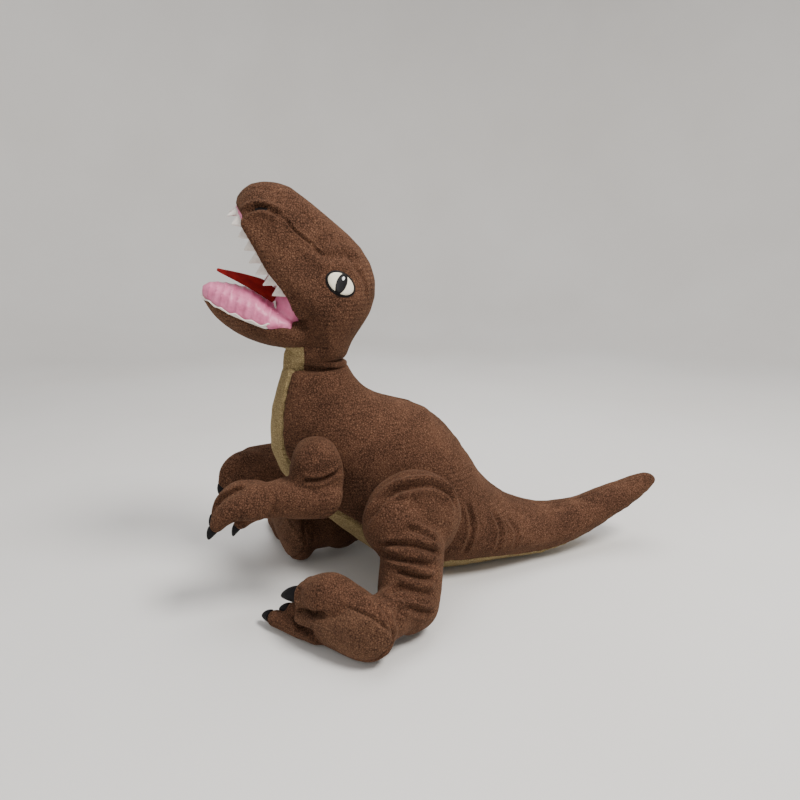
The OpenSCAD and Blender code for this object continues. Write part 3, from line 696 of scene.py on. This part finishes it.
def body():
    """One skin for torso and tail, sewn along its seams, cut where the tail starts to swing and to lift."""
    brown = BROWN_BODY + ["tail_base_skin", "tail_tip_skin"]
    olive = ["belly_panel", "seat_panel", "tail_base_underside", "tail_tip_underside"]
    inside = ["torso_stuffing", "tail_base_stuffing", "tail_tip_stuffing"]
    collar = ball((0, -130, 223), (31.5, 33, 12), 10)
    skin = fuse("torso_plush", brown + olive + inside, extra=[collar])
    mesh = skin.data
    relax(mesh, 26)
    relax(mesh, 10, mask=smooth_step(points(mesh)[:, 2], 0.216, 0.226), hold=0)
    finer(skin)
    mesh = skin.data
    co = points(mesh)
    belly_line = spread(mesh, between(co, olive, brown), 4)
    behind = smooth_step(co[:, 1], -0.03, 0.01)
    low = 1 - smooth_step(co[:, 2], 0.0, 0.045)
    belly_line -= 8 * MM * behind * (1 - smooth_step(co[:, 1], 0.045, 0.085))
    belly_line -= 6 * MM * smooth_step(co[:, 1], -0.125, -0.10) * (1 - behind)
    co[:, 2] += 9 * MM * smooth_step(np.abs(co[:, 0]), 0.010, 0.045) * low * behind
    put(mesh, co)
    back = np.where((belly_line > 12 * MM) & (normals(mesh)[:, 2] > -0.3), co[:, 0], 1.0)
    lumps(mesh, 1.1, 34, 3)
    lumps(mesh, 0.35, 11, 8)
    puckers(mesh, belly_line, 7, 1.0, 8, 2)
    puckers(mesh, back, 6, 0.5, 6, 4)
    seam(mesh, belly_line, 1.7, 1.5, 0.35)
    seam(mesh, back, 1.4, 0.9, 0.2)
    for side in (1, -1):
        for y, top, foot, depth in TAIL_CREASES:
            middle = (side * 0.048, y + 0.006, (top + foot) / 2)
            fold(mesh, [(side * 0.047, y, top), middle, (side * 0.046, y, foot)], 2.6, depth, 0.6)
    ground(mesh)
    remember(mesh)
    return skin, belly_line


torso_skin, belly_line = body()
BODY = tree_of(torso_skin.data)
olive_skin = cut_off(torso_skin, "torso_belly", belly_line)

BENDS = {
    "torso": ("torso", "neck", (0, -0.130, 0.203), (0, -0.126, 0.226)),
    "tail_base": ("torso", "tail_base", (0, SWING_CUT + 0.002, 0.04), (0, 0.062, 0.04)),
    "tail_tip": ("tail_base", "tail_tip", (0, LIFT_CUT + 0.006, 0.04), (0, 0.156, 0.05)),
}
for skin, kind, material, slot, torso_nodes in (
    (torso_skin, "plush", BROWN, "plush_brown", BROWN_BODY + ["torso_stuffing", "pellet_bag"]),
    (olive_skin, "belly", OLIVE, "plush_olive", ["belly_panel", "seat_panel"]),
):
    tail_tip = cut_off(skin, "tail_tip_" + kind, LIFT_CUT - points(skin.data)[:, 1])
    tail_base = cut_off(skin, "tail_base_" + kind, SWING_CUT - points(skin.data)[:, 1])
    node = {"plush": "_skin", "belly": "_underside"}[kind]
    for piece, part, nodes in (
        (skin, "torso", torso_nodes),
        (tail_base, "tail_base", ["tail_base" + node]),
        (tail_tip, "tail_tip", ["tail_tip" + node]),
    ):
        if kind == "plush" and part != "torso":
            nodes = nodes + [part + "_stuffing"]
        thicken(piece)
        finish(piece, material, nodes, blend=BENDS[part])


# ---- head and jaw

HEAD_BROWN = ["head_left_panel", "head_right_panel", "head_top_gusset"]
# Where the jaw is cut from the head, along Y
JAW_CUT = -0.167
CHEEK = ball((0, -154, 267), (35.5, 24, 16.5))
THROAT = ball((0, -128, 247), (33, 31, 15), 10)
GULLET = ball((0, -153, 292), (31, 17, 18))


def lips():
    """Fabric of the cheeks, down to the line of the upper lip on each side."""
    edge = [(26, -192, 368), (29, -182, 349), (31, -172, 329), (33.5, -157, 308), (34, -146, 286)]
    inward = Vector((0, 0.894, 0.447)) * 5.5
    rows = []
    for side in (1, -1):
        for k in range(5):
            rows.append(beads([(Vector((side * x, y, z)) + inward * k) * MM for x, y, z in edge], (4.6, 4.6)))
    return rows


LIPS = lips()
# Outer edge of the palate: half its width at four places along Y
PALATE_Y = (-0.200, -0.192, -0.170, -0.150)
PALATE_HALF = (0.019, 0.0265, 0.0315, 0.0345)
# Folds on the left of the head: width, depth and lip, then the places, all in millimetres
HEAD_FOLDS = [
    (2.6, 2.6, 0.75, [(25.5, -195, 376), (26.9, -186, 380), (27.5, -176.5, 381.5), (28, -167.9, 378.5),
                      (28, -159.3, 374)]),
    (1.7, 3.0, 0.2, [(27, -183, 381.5), (27.5, -177, 382.5), (28, -172, 381)]),
    (1.3, 1.9, 0.35, [(27, -160, 376), (29, -152, 366), (30, -144, 358), (31, -134, 350), (34, -122, 338)]),
    (6.5, 2.2, 0.1, [(29, -131, 356), (31, -120, 346)]),
    (4.2, 1.9, 0.45, [(31.2, -133.7, 350.5), (34.1, -121.6, 340), (31, -109.2, 340.5), (27, -98.5, 338.5),
                      (24.1, -88.9, 330)]),
    (2.6, 1.0, 0.5, [(32, -99, 333), (30, -89, 325), (30, -83, 312), (32, -83, 298)]),
    (2.2, 0.6, 0.4, [(24.1, -84.9, 329.5), (23, -79.7, 315.6), (25, -78.5, 296)]),
    (6.0, 1.0, 0.1, [(39, -128, 322), (38, -136, 333), (35, -146, 343)]),
]


def below_mouth(co):
    """Above zero under the plane that halves the open mouth."""
    return (co - np.array(PIVOT["jaw_hinge"])) @ np.array((0, -0.653, -0.757))


def head():
    """One skin for head, cheeks, jaw and mouth lining."""
    nodes = HEAD_BROWN + ["palate_lining", "mouth_floor_lining", "jaw_skin", "head_stuffing", "jaw_stuffing"]
    skin = fuse("head_plush", nodes, extra=[CHEEK, THROAT, GULLET, *LIPS])
    mesh = skin.data
    relax(mesh, 12)
    relax(mesh, 26, mask=1 - smooth_step(points(mesh)[:, 2], 0.242, 0.264), hold=0)
    co = points(mesh)
    nape = (1 - smooth_step(co[:, 2], 0.250, 0.300)) * smooth_step(co[:, 1], -0.130, -0.098)
    co[:, 1] -= 7 * MM * nape
    put(mesh, co)
    finer(skin)
    mesh = skin.data
    co = points(mesh)
    brown = HEAD_BROWN + ["jaw_skin", CHEEK, THROAT, *LIPS]
    lining = spread(mesh, between(co, ["palate_lining", "mouth_floor_lining", GULLET], brown), 3)
    outside = np.abs(co[:, 0]) - np.interp(co[:, 1], PALATE_Y, PALATE_HALF)
    upper = (below_mouth(co) < 0) & (co[:, 1] > -0.203)
    lining = np.where(upper, np.maximum(lining, outside), lining)
    lining = np.maximum(lining, co[:, 1] + 0.148)
    on_jaw = smooth_step(below_mouth(co), 0, 0.008) * (1 - smooth_step(co[:, 1], -0.178, -0.160))
    lining -= 5 * MM * on_jaw
    swell = on_jaw * smooth_step(-lining, 0.003, 0.018) * (1 - smooth_step(co[:, 1], -0.19, -0.17))
    put(mesh, co + normals(mesh) * (2.2 * MM * swell)[:, None])
    co = points(mesh)
    gusset = spread(mesh, between(co, ["head_top_gusset"], ["head_left_panel", "head_right_panel"]), 6)
    gusset[lining < 4 * MM] = 1.0
    gusset[co[:, 2] < 0.262] = 1.0
    lumps(mesh, 0.7, 26, 11, smooth_step(lining, 0, 0.012))
    n = normals(mesh)
    ridge = smooth_step(-gusset, -0.006, 0.012) * (gusset < 0.9) * smooth_step(co[:, 2], 0.285, 0.330)
    put(mesh, points(mesh) + n * (1.5 * MM * ridge)[:, None])
    seam(mesh, gusset, 1.6, 0.5, 0.1)
    for side in (1, -1):
        for width, depth, lip, places in HEAD_FOLDS:
            path = [Vector((side * x * MM, y * MM, z * MM)) for x, y, z in places]
            fold(mesh, path, width, depth, lip)
    seam(mesh, lining, 1.5, 1.1, 0.3)
    satin_only = smooth_step(-lining, 0.001, 0.006)
    gathers(mesh, (0, -0.160, 0.30), (0, -0.95, 0.31), 7.5, 0.8, (2, 84), satin_only * (co[:, 2] < 0.318), 4)
    gathers(mesh, (0, -0.150, 0.29), (0, -0.45, 0.89), 8.0, 0.5, (4, 100), satin_only * (co[:, 2] > 0.318), 9)
    remember(mesh)
    return skin, lining


head_skin, lip_line = head()
HEAD = tree_of(head_skin.data)
lining_skin = cut_off(head_skin, "palate_satin", lip_line)


def jaw_part(mesh):
    """Below zero where a skin belongs to the jaw."""
    co = points(mesh)
    return np.maximum(co[:, 1] - JAW_CUT, -below_mouth(co))


JAW_BEND = ("head", "jaw", (0, JAW_CUT - 0.001, 0.28), (0, JAW_CUT - 0.024, 0.28))
jaw_skin = cut_off(head_skin, "jaw_plush", jaw_part(head_skin.data))
co = points(head_skin.data)
throat_skin = cut_off(head_skin, "throat_olive", np.maximum(co[:, 2] - 0.2545, (co[:, 1] + 0.1445) * 0.9))
floor_skin = cut_off(lining_skin, "mouth_floor_satin", jaw_part(lining_skin.data))


def rim(mesh, pick):
    """Points on the open edge of a skin that a test picks."""
    count = Counter(key for polygon in mesh.polygons for key in polygon.edge_keys)
    co = points(mesh)
    found = sorted({v for key, times in count.items() if times == 1 for v in key})
    return np.array([co[v] for v in found if pick(co[v])])


def in_order(cloud, across, along, centre, bins=90):
    """Averages a cloud of points on a rim into a line, by the angle round a middle."""
    d = cloud - centre
    angle = np.arctan2(d @ across, d @ along)
    low, high = angle.min(), angle.max()
    line = []
    for k in range(bins):
        a, b = low + (high - low) * k / bins, low + (high - low) * (k + 1) / bins
        inside = cloud[(angle >= a) & (angle <= b)]
        if len(inside):
            line.append(inside.mean(axis=0))
    line = np.array(line)
    for k in range(3):
        line[1:-1] = (line[:-2] + 2 * line[1:-1] + line[2:]) / 4
    return line


upper_rim = rim(lining_skin.data, lambda p: below_mouth(p[None])[0] < -2 * MM)
lower_rim = rim(floor_skin.data, lambda p: p[1] < JAW_CUT - 2 * MM)

for piece, material, slot, nodes, where, fill in (
    (head_skin, BROWN, "plush_brown", HEAD_BROWN + ["head_stuffing"], "head", 0.9),
    (throat_skin, OLIVE, "plush_olive", ["throat_panel"], "head", 0.8),
    (lining_skin, PINK, "satin_pink", ["palate_lining"], "head", 0.6),
    (jaw_skin, BROWN, "plush_brown", ["jaw_skin", "jaw_stuffing"], None, 0.8),
    (floor_skin, PINK, "satin_pink", ["mouth_floor_lining"], None, 0.6),
):
    thicken(piece)
    if where:
        finish(piece, material, nodes, body=where)
    else:
        finish(piece, material, nodes, blend=JAW_BEND)

neck_fill = beads([Vector(p) * MM for p in ((0, -147, 226), (0, -146, 240), (0, -143, 253))], (18, 18, 15))
neck = fuse("neck_plush", ["neck_sleeve", "neck_stuffing"], 2.2 * MM, [neck_fill])
relax(neck.data, 8)
co = points(neck.data)
pivot = PIVOT["neck_nod"]
slim = 0.13 * smooth_step(co[:, 1], -0.152, -0.138)
for k in (0, 1):
    co[:, k] -= (co[:, k] - pivot[k]) * slim
put(neck.data, co)
remember(neck.data)
neck_front = cut_off(neck, "neck_olive", co[:, 1] + 0.1445)
thicken(neck)
thicken(neck_front)
finish(neck, BROWN, ["neck_sleeve", "neck_stuffing"], body="neck")
finish(neck_front, OLIVE, [], body="neck")


# ---- teeth and tongue

# Columns of points in each tooth, and how far the strip's seam allowance goes inside the lip
PER_TOOTH = 10
ALLOWANCE = 7.0 * MM


def tooth_strip(name, line, direction, count, tall, low, lean, seed, nodes, middle, tuck, trim,
                body=None, blend=None):
    """Zigzag felt strip, sewn into the lip seam: one column of points every tenth of a tooth."""
    steps = np.linalg.norm(np.diff(line, axis=0), axis=1)
    s = np.concatenate([[0], np.cumsum(steps)])
    total = s[-1]
    columns = count * PER_TOOTH + 1
    place = np.linspace(total * trim, total * (1 - trim), columns)
    base = np.stack([np.interp(place, s, line[:, k]) for k in range(3)], axis=1)
    rng = np.random.default_rng(seed)
    heights = rng.uniform(0.78, 1.12, count + 1)
    rows = 9
    d = np.array(direction) / np.linalg.norm(direction)
    bm = bmesh.new()
    grid, tops = [], []
    for i, b in enumerate(base):
        tooth = min(i // PER_TOOTH, count - 1)
        f = (i - tooth * PER_TOOTH) / PER_TOOTH
        peak = 1 - abs(2 * f - 1)
        grow = 0.8 + 0.35 * abs(2 * place[i] / total - 1)
        h = (low + (tall - low) * peak ** 1.15 * heights[tooth] * grow) * MM
        tops.append(h + ALLOWANCE)
        inward = np.array(middle) - b
        inward -= d * (inward @ d)
        inward /= np.linalg.norm(inward)
        fall = (inward * tuck - d) / np.linalg.norm(inward * tuck - d)
        gap = 0.7 * MM if lean > 0 else -0.4 * MM
        column = []
        for k in range(rows):
            t = k / (rows - 1)
            up = -ALLOWANCE + (h + ALLOWANCE) * t
            curl = lean * MM * max(up / h, 0) ** 2 * (0.6 + 0.4 * heights[tooth])
            along = d * up if up > 0 else fall * -up
            column.append(bm.verts.new(b + inward * (gap + curl) + along))
        grid.append(column)
    panels(bm, grid)
    strip = add(name, to_mesh(name, bm))
    finer(strip)
    solidify(strip, 1.1 * MM, 0)
    finish(strip, WHITE, nodes, body=body, blend=blend)


lip_along = np.array((0, 0.447, -0.894))
sideways = np.array((1.0, 0, 0))
upper_line = in_order(upper_rim, sideways, -lip_along, np.array((0, -0.170, 0.315)))
lower_line = in_order(lower_rim, sideways, np.array((0, -0.95, 0.31)), np.array((0, -0.180, 0.299)))
tooth_strip(
    "upper_teeth_felt", upper_line, (0, -0.894, -0.447), 17, 13.5, 2.6, 1.2, 5, ["upper_teeth"],
    (0, -0.165, 0.335), 0.3, 0.10, body="head",
)
tooth_strip(
    "lower_teeth_felt", lower_line, (0, -0.15, 0.98), 16, 4.0, 0.6, -2.6, 6, ["lower_teeth"],
    (0, -0.190, 0.285), 1.1, 0.03, blend=JAW_BEND,
)


def tongue():
    """Kite-shaped leaf of doubled felt, rolled so that its far edge stands higher."""
    root = spot("tongue_flex", 0, 0, 3)
    along = Vector((3, -54, 26)) * MM
    across = Vector((0.81, -0.24, -0.54)).normalized()
    rows, half, widest = 22, 6, 0.3
    bm = bmesh.new()
    grid, widths = [], []
    for i in range(rows + 1):
        t = i / rows
        near = 10 * (1 - t) ** 0.9 + 0.9
        far = 13 * (0.6 + 0.4 * t / widest if t < widest else ((1 - t) / (1 - widest)) ** 0.95) + 0.9
        widths.append((near + far) * MM)
        middle = root + along * t + Vector((0, 0, 1)) * MM * 1.6 * math.sin(math.pi * t)
        row = []
        for j in range(-half, half + 1):
            u = j / half
            wide = (near if u > 0 else far) * MM * abs(u)
            dip = 1.2 * MM * u * u
            row.append(bm.verts.new(middle + across * (wide if u > 0 else -wide) + Vector((0, 0, -dip))))
        grid.append(row)
    for a, b in zip(grid, grid[1:]):
        for j in range(2 * half):
            bm.faces.new((a[j], a[j + 1], b[j + 1], b[j]))
    leaf = add("tongue_felt", to_mesh("tongue_felt", bm))
    solidify(leaf, 2.2 * MM, 0)
    finer(leaf)
    finish(leaf, RED, ["tongue"], body="tongue")


tongue()


# ---- eyes and nostrils


def patch(name, centre, normal, along, semi, lift, dome, material, nodes=(), rings=9, round_=48):
    """Oval pad sewn on the head, domed in the middle, with its edge pressed into the pile."""
    n = Vector(normal).normalized()
    a = (Vector(along) - n * Vector(along).dot(n)).normalized()
    b = n.cross(a)
    half_a, half_b = semi[0] * MM, semi[1] * MM
    bm = bmesh.new()

    def place(rho, theta):
        p = Vector(centre) + a * (half_a * rho * math.cos(theta)) + b * (half_b * rho * math.sin(theta))
        hit = HEAD.ray_cast(p + n * 20 * MM, -n)[0]
        if hit is None:
            hit = HEAD.find_nearest(p)[0]
        rise = lift + dome * math.sqrt(max(1 - rho * rho, 0)) - (0.9 if rho > 0.97 else 0)
        return bm.verts.new(hit + n * rise * MM)

    middle = place(0, 0)
    last = None
    for k in range(1, rings + 1):
        ring = [place(k / rings, 2 * math.pi * j / round_) for j in range(round_)]
        for j in range(round_):
            m = (j + 1) % round_
            bm.faces.new((middle, ring[j], ring[m]) if last is None else (last[j], ring[j], ring[m], last[m]))
        last = ring
    bmesh.ops.recalc_face_normals(bm, faces=bm.faces)
    mesh = to_mesh(name, bm)
    if Vector(mesh.polygons[0].normal).dot(n) < 0:
        mesh.flip_normals()
    piece = add(name, mesh)
    solidify(piece, 1.2 * MM)
    finish(piece, material, nodes, body="head")


def eye(word, side):
    """Cream eye with a black outline, an upright pupil and a glint, one pad on the other."""
    centre = Vector((side * 0.0415, -0.1088, 0.3153))
    normal = (side * 0.93, 0.16, 0.24)
    tilt, lean = math.radians(30), math.radians(62)
    lengthways = (0, math.cos(tilt), -math.sin(tilt))
    upright = (0, math.cos(lean), math.sin(lean))
    for part, along, semi, lift, dome, material in (
        ("outline", lengthways, (15.6, 11.9), 0.7, 1.0, BLACK),
        ("white", lengthways, (13.9, 10.0), 1.5, 1.3, CREAM),
        ("pupil", upright, (10.6, 5.6), 2.6, 0.7, BLACK),
    ):
        nodes = [word + "_eye"] if part == "outline" else []
        patch(word + "_eye_" + part, centre, normal, along, semi, lift, dome, material, nodes)
    glint = centre + Vector((0, 2.2, 4.6)) * MM
    patch(word + "_eye_glint", glint, normal, upright, (2.4, 1.5), 3.5, 0.3, GLINT,
          rings=4, round_=24)


for word, side in (("left", 1), ("right", -1)):
    eye(word, side)
    nostril = (side * 0.0275, -0.1775, 0.3818)
    patch(word + "_nostril", nostril, (side * 0.85, 0, 0.5), (0, 1, 0.05), (6.4, 2.2), 0.5, 0.2, BLACK,
          ["nostril_stitching"], rings=4, round_=28)


# ---- claws


def horn(bm, base, direction, length, radius, droop=0.25, flat=0.85):
    """Blunt claw that curves towards the ground, closed at its base."""
    d = Vector(direction).normalized()
    across = d.cross(UP).normalized()
    up = across.cross(d)
    rings, sides = 12, 20
    last = None
    for k in range(rings + 1):
        t = k / rings
        r = radius * MM * max((1 - t ** 2.1) ** 0.62, 0.0) * (1 - 0.22 * t)
        middle = Vector(base) + d * (length * MM * t) - up * (droop * length * MM * t * t)
        if r < 0.2 * MM:
            tip = bm.verts.new(middle)
            for j in range(sides):
                bm.faces.new((last[j], last[(j + 1) % sides], tip))
            return
        ring = [
            bm.verts.new(middle + across * (r * flat * math.cos(a)) + up * (r * math.sin(a)))
            for a in (2 * math.pi * j / sides for j in range(sides))
        ]
        if last is None:
            bm.faces.new(ring[::-1])
        else:
            panels(bm, [last, ring], closed=True)
        last = ring


def claws(name, rows, node, body):
    """The claws of one hand or foot, as one piece."""
    bm = bmesh.new()
    for base, direction, length, radius in rows:
        horn(bm, base, direction, length, radius)
    bmesh.ops.recalc_face_normals(bm, faces=bm.faces)
    piece = add(name, to_mesh(name, bm))
    finer(piece)
    finish(piece, CLAW, [node], body=body)


# ---- arms

# Fingers from the elbow: outward, along the forearm, up; then the radii
FINGERS = [
    ([(9, 62, -1), (10, 80, -3), (10, 92, -11), (10, 97, -19)], (14, 11.5, 9, 6.5)),
    ([(-9, 62, 2), (-10, 80, 3), (-10, 92, -6), (-10, 97, -16)], (14, 11.5, 9, 6.5)),
    ([(-4, 58, -9), (-5, 70, -17), (-5, 76, -23)], (10, 8, 6.5)),
]


def confine(mesh, y, z, wide, tall):
    """Rounds off what stands out behind an upright oval."""
    co = points(mesh)
    dy, dz = co[:, 1] - y * MM, co[:, 2] - z * MM
    rho = np.maximum(np.hypot(dy / (wide * MM), dz / (tall * MM)), 1)
    amount = smooth_step(dy, -0.006, 0.004) * (1 - 1 / rho)
    co[:, 1] -= dy * amount
    co[:, 2] -= dz * amount
    put(mesh, co)


def arm(word, side, aim, disc):
    """One arm's skin, from shoulder to finger tips, and its claws."""
    elbow, shoulder = PIVOT[word + "_elbow"], PIVOT[word + "_shoulder"]
    aim = Vector((side * aim[0], aim[1], aim[2])).normalized()
    out = Vector((side, 0, 0))
    up = (UP - aim * UP.dot(aim)).normalized()

    def local(x, along, z):
        return elbow + out * (x * MM) + aim * (along * MM) + up * (z * MM)

    extra = [beads([local(*p) for p in path], radii) for path, radii in FINGERS]
    extra.append(ball(disc, (20, 27, 38)))
    if side < 0:
        palm = [local(-8, 28, -5), local(-9, 58, -8), local(-10, 82, -14), local(-9, 91, -24)]
        extra.append(beads(palm, (18, 19, 15, 8)))
    names = [f"{word}_{part}_{layer}" for part in ("upper_arm", "forearm") for layer in ("skin", "stuffing")]
    skin = fuse(word + "_arm_plush", names, 2.2 * MM, extra)
    relax(skin.data, 9)
    hug(skin.data, side, shoulder, 36, BODY, narrow=0.16)
    confine(skin.data, disc[1], disc[2] + 3, 25, 37)
    relax(skin.data, 3)
    finer(skin)
    mesh = skin.data
    lumps(mesh, 0.8, 20, 21)
    tree = tree_of(mesh)
    y, z = shoulder.y, shoulder.z
    crease = [(y - 0.028, z - 0.005), (y - 0.015, z - 0.009), (y + 0.004, z - 0.009), (y + 0.022, z - 0.002)]
    fold(mesh, from_side(tree, side, crease), 2.1, 4.8, 0.4, 0.1)
    for at, depth, width in ((36, 1.6, 3.0), (47, 1.8, 2.6), (56, 1.3, 2.6)):
        ring = [local(12, at + 2, 18), local(20, at, 6), local(19, at + 1, -8)]
        fold(mesh, ring, width, depth, 0.4)
    finger_gap = [local(0.5, 72, 16), local(0.5, 86, 9), local(0, 97, 0), local(0, 101, -12)]
    fold(mesh, finger_gap, 1.8, 3.4, 0.3, 0.15)
    thumb_gap = [local(3, 74, -14), local(2, 82, -15), local(0, 92, -14)]
    fold(mesh, thumb_gap, 1.6, 2.4, 0.3, 0.15)
    remember(mesh)
    names.append(word + "_fingers")
    start, end = local(0, 12, -4), local(0, 40, -10)
    bend = (word + "_upper_arm", word + "_forearm", start, end)
    finish(skin, BROWN, names, blend=bend)
    down = aim * 0.62 - up * 0.78
    rows = []
    for (path, radii), length, radius in zip(FINGERS, (11, 11, 12), (4.9, 4.9, 4.4)):
        rows.append((local(*path[-1]) + down * (radii[-1] - 2.2) * MM, down, length, radius))
    claws(word + "_finger_claws_cloth", rows, word + "_finger_claws", word + "_forearm")


arm("left", 1, (1.5, -70, 5), (62, -139, 136))
arm("right", -1, (-8, -70, -3), (-62, -141, 130))


# ---- legs

# Toes in the foot's own frame: along, up, towards the sole; then the radii
TOES = [
    ([(14, 42, -2), (38, 49, 0), (62, 42, 0)], (20, 20.5, 14.5)),
    ([(56, 26, -3), (70, 23, -1), (82, 20, 0)], (10, 9, 7.5)),
    ([(50, 14, 5), (76, 10.5, 7), (98, 10, 8)], (13, 10, 8)),
]
# Claws in the same frame, with length, radius and lean towards the sole
TOE_CLAWS = [((74, 39, 1), 20, 8.6, 0.2), ((87, 19, 0), 13, 6.4, 0.1), ((103, 11, 9), 12, 6.6, 0.0)]
FOOT_AIM = Vector((-0.69, -0.725, 0)).normalized()
# Folds across the near shin, from the knee: pairs of Y and Z, then the depth, in millimetres
SHIN_FOLDS = [
    (((-35, 10), (-13, 16), (9, 11), (23, 1)), 2.4), (((-39, 3), (-19, 4), (2, 1), (15, -5)), 1.9),
    (((-36, -9), (-22, -4), (2, -10), (14, -14)), 2.2), (((-33, -18), (-22, -16), (0, -21), (12, -26)), 1.6),
    (((-31, -28), (-19, -26), (0, -37), (12, -42)), 2.0), (((-12, 30), (4, 24), (20, 12)), 1.6),
]


def leg(word, side, heel, turn, shin_path, shin_radii, thigh):
    """One leg's skin, from hip to toes, cut at the shin, with its sole and claws."""
    hip, knee, ankle = (PIVOT[word + "_" + n] for n in ("hip", "knee", "ankle"))
    spin = Matrix.Rotation(math.radians(turn), 3, "Z")
    along, sole = spin @ FOOT_AIM, spin @ Vector((-FOOT_AIM.y, FOOT_AIM.x, 0))
    heel = Vector((*heel, 0)) * MM

    def local(t, z, s):
        return heel + along * t * MM + UP * z * MM + sole * s * MM

    extra = [beads([local(*p) for p in path], radii) for path, radii in TOES]
    extra.append(beads([Vector(p) * MM for p in shin_path], shin_radii))
    shin_end = Vector(shin_path[-1]) * MM
    instep = [shin_end, (shin_end + local(-8, 36, -5)) / 2, local(-4, 32, -4)]
    extra.append(beads(instep, (shin_radii[-1] - 2, 22, 20)))
    extra.append(ball(thigh[0], thigh[1]))
    layers = ("skin", "stuffing")
    thigh_and_shin = [f"{word}_{part}_{layer}" for part in ("thigh", "shin") for layer in layers]
    names = thigh_and_shin + [word + "_foot_" + layer for layer in ("skin", "sole", "stuffing")]
    skin = fuse(word + "_thigh_plush", names, 2.5 * MM, extra)
    relax(skin.data, 9)
    hug(skin.data, side, hip, 58, BODY)
    finer(skin)
    mesh = skin.data
    co = points(mesh)
    in_foot = np.array([(Vector(p) - local(0, 0, 0)).dot(along) > -0.045 for p in co])
    not_sole = [word + "_foot_skin", word + "_shin_skin", extra[0], extra[2]]
    sole_line = spread(mesh, between(co, [word + "_foot_sole"], not_sole), 3)
    sole_line[~in_foot] = 1.0
    lumps(mesh, 1.0, 26, 31)
    seam(mesh, sole_line, 1.5, 1.5, 0.35)
    tree = tree_of(mesh)

    def beside(pivot, *pairs):
        return from_side(tree, side, [(pivot.y + a * MM, pivot.z + b * MM) for a, b in pairs])

    thigh_edge = ((-50, 0), (-40, 20), (-24, 33), (-4, 39), (18, 37), (33, 26), (41, 8))
    fold(mesh, beside(hip, *thigh_edge), 3.4, 4.6, 0.9)
    fold(mesh, beside(hip, (-32, 12), (-12, 22), (8, 22)), 3.4, 1.0, 0.4)
    if side > 0:
        for pairs, depth in SHIN_FOLDS:
            fold(mesh, beside(knee, *pairs), 2.6, depth * 1.6, 0.7)
    else:
        axis = (ankle - knee).normalized()
        gathers(mesh, knee, axis, 9, 1.4, (8, 52), 1.0, 14)
    toe_gap = 1.0 if side > 0 else 0.45
    fold(mesh, [local(66, 33, 10), local(48, 39, 17), local(28, 44, 19)], 3.4, 8.0 * toe_gap, 0.25)
    fold(mesh, [local(76, 22, 8), local(60, 20, 14), local(42, 20, 19)], 2.9, 6.0 * toe_gap, 0.25)
    fold(mesh, [local(-6, 62, -4), local(-21, 54, -2), local(-29, 40, 0), local(-30, 26, 0)], 2.4, 2.2, 0.6)
    fold(mesh, [local(-22, 64, -12), local(-34, 54, -12), local(-40, 38, -12)], 2.4, 1.8, 0.6)
    ground(mesh)
    remember(mesh)
    middle = (knee + ankle) / 2
    sole_skin = cut_off(skin, word + "_sole_plush", sole_line)
    to_foot = (local(0, 30, -4) - middle).normalized()
    to_knee = (knee - middle).normalized()
    split = (to_foot - to_knee).normalized()
    co = points(skin.data)
    foot_skin = cut_off(skin, word + "_foot_plush", -(co - np.array(middle)) @ np.array(split))
    for piece in (skin, foot_skin, sole_skin):
        thicken(piece)
    reach = (middle - knee).length
    bend = (word + "_thigh", word + "_shin", middle - split * (reach + 0.004), middle - split * 0.004)
    finish(skin, BROWN, thigh_and_shin, blend=bend)
    bend = (word + "_shin", word + "_foot", middle + split * 0.003, middle + split * 0.034)
    foot_nodes = [word + "_foot_skin", word + "_foot_stuffing", word + "_toes"]
    finish(foot_skin, BROWN, foot_nodes, blend=bend)
    finish(sole_skin, SOLE, [word + "_foot_sole"], blend=bend)
    rows = [(local(*at), along + sole * lean, length, radius) for at, length, radius, lean in TOE_CLAWS]
    claws(word + "_toe_claws_cloth", rows, word + "_toe_claws", word + "_foot")


leg(
    "left", 1, (153, -107), 0, [(97, -54, 72), (111, -58, 50), (120, -61, 31)], (31, 29.5, 28),
    ((84, -66, 92), (31, 33, 34)),
)
leg(
    "right", -1, (-36, -155), -34, [(-81, -65, 45), (-67, -88, 36), (-53, -109, 29)], (30, 28, 26),
    ((-80, -62, 82), (28, 32, 32)),
)
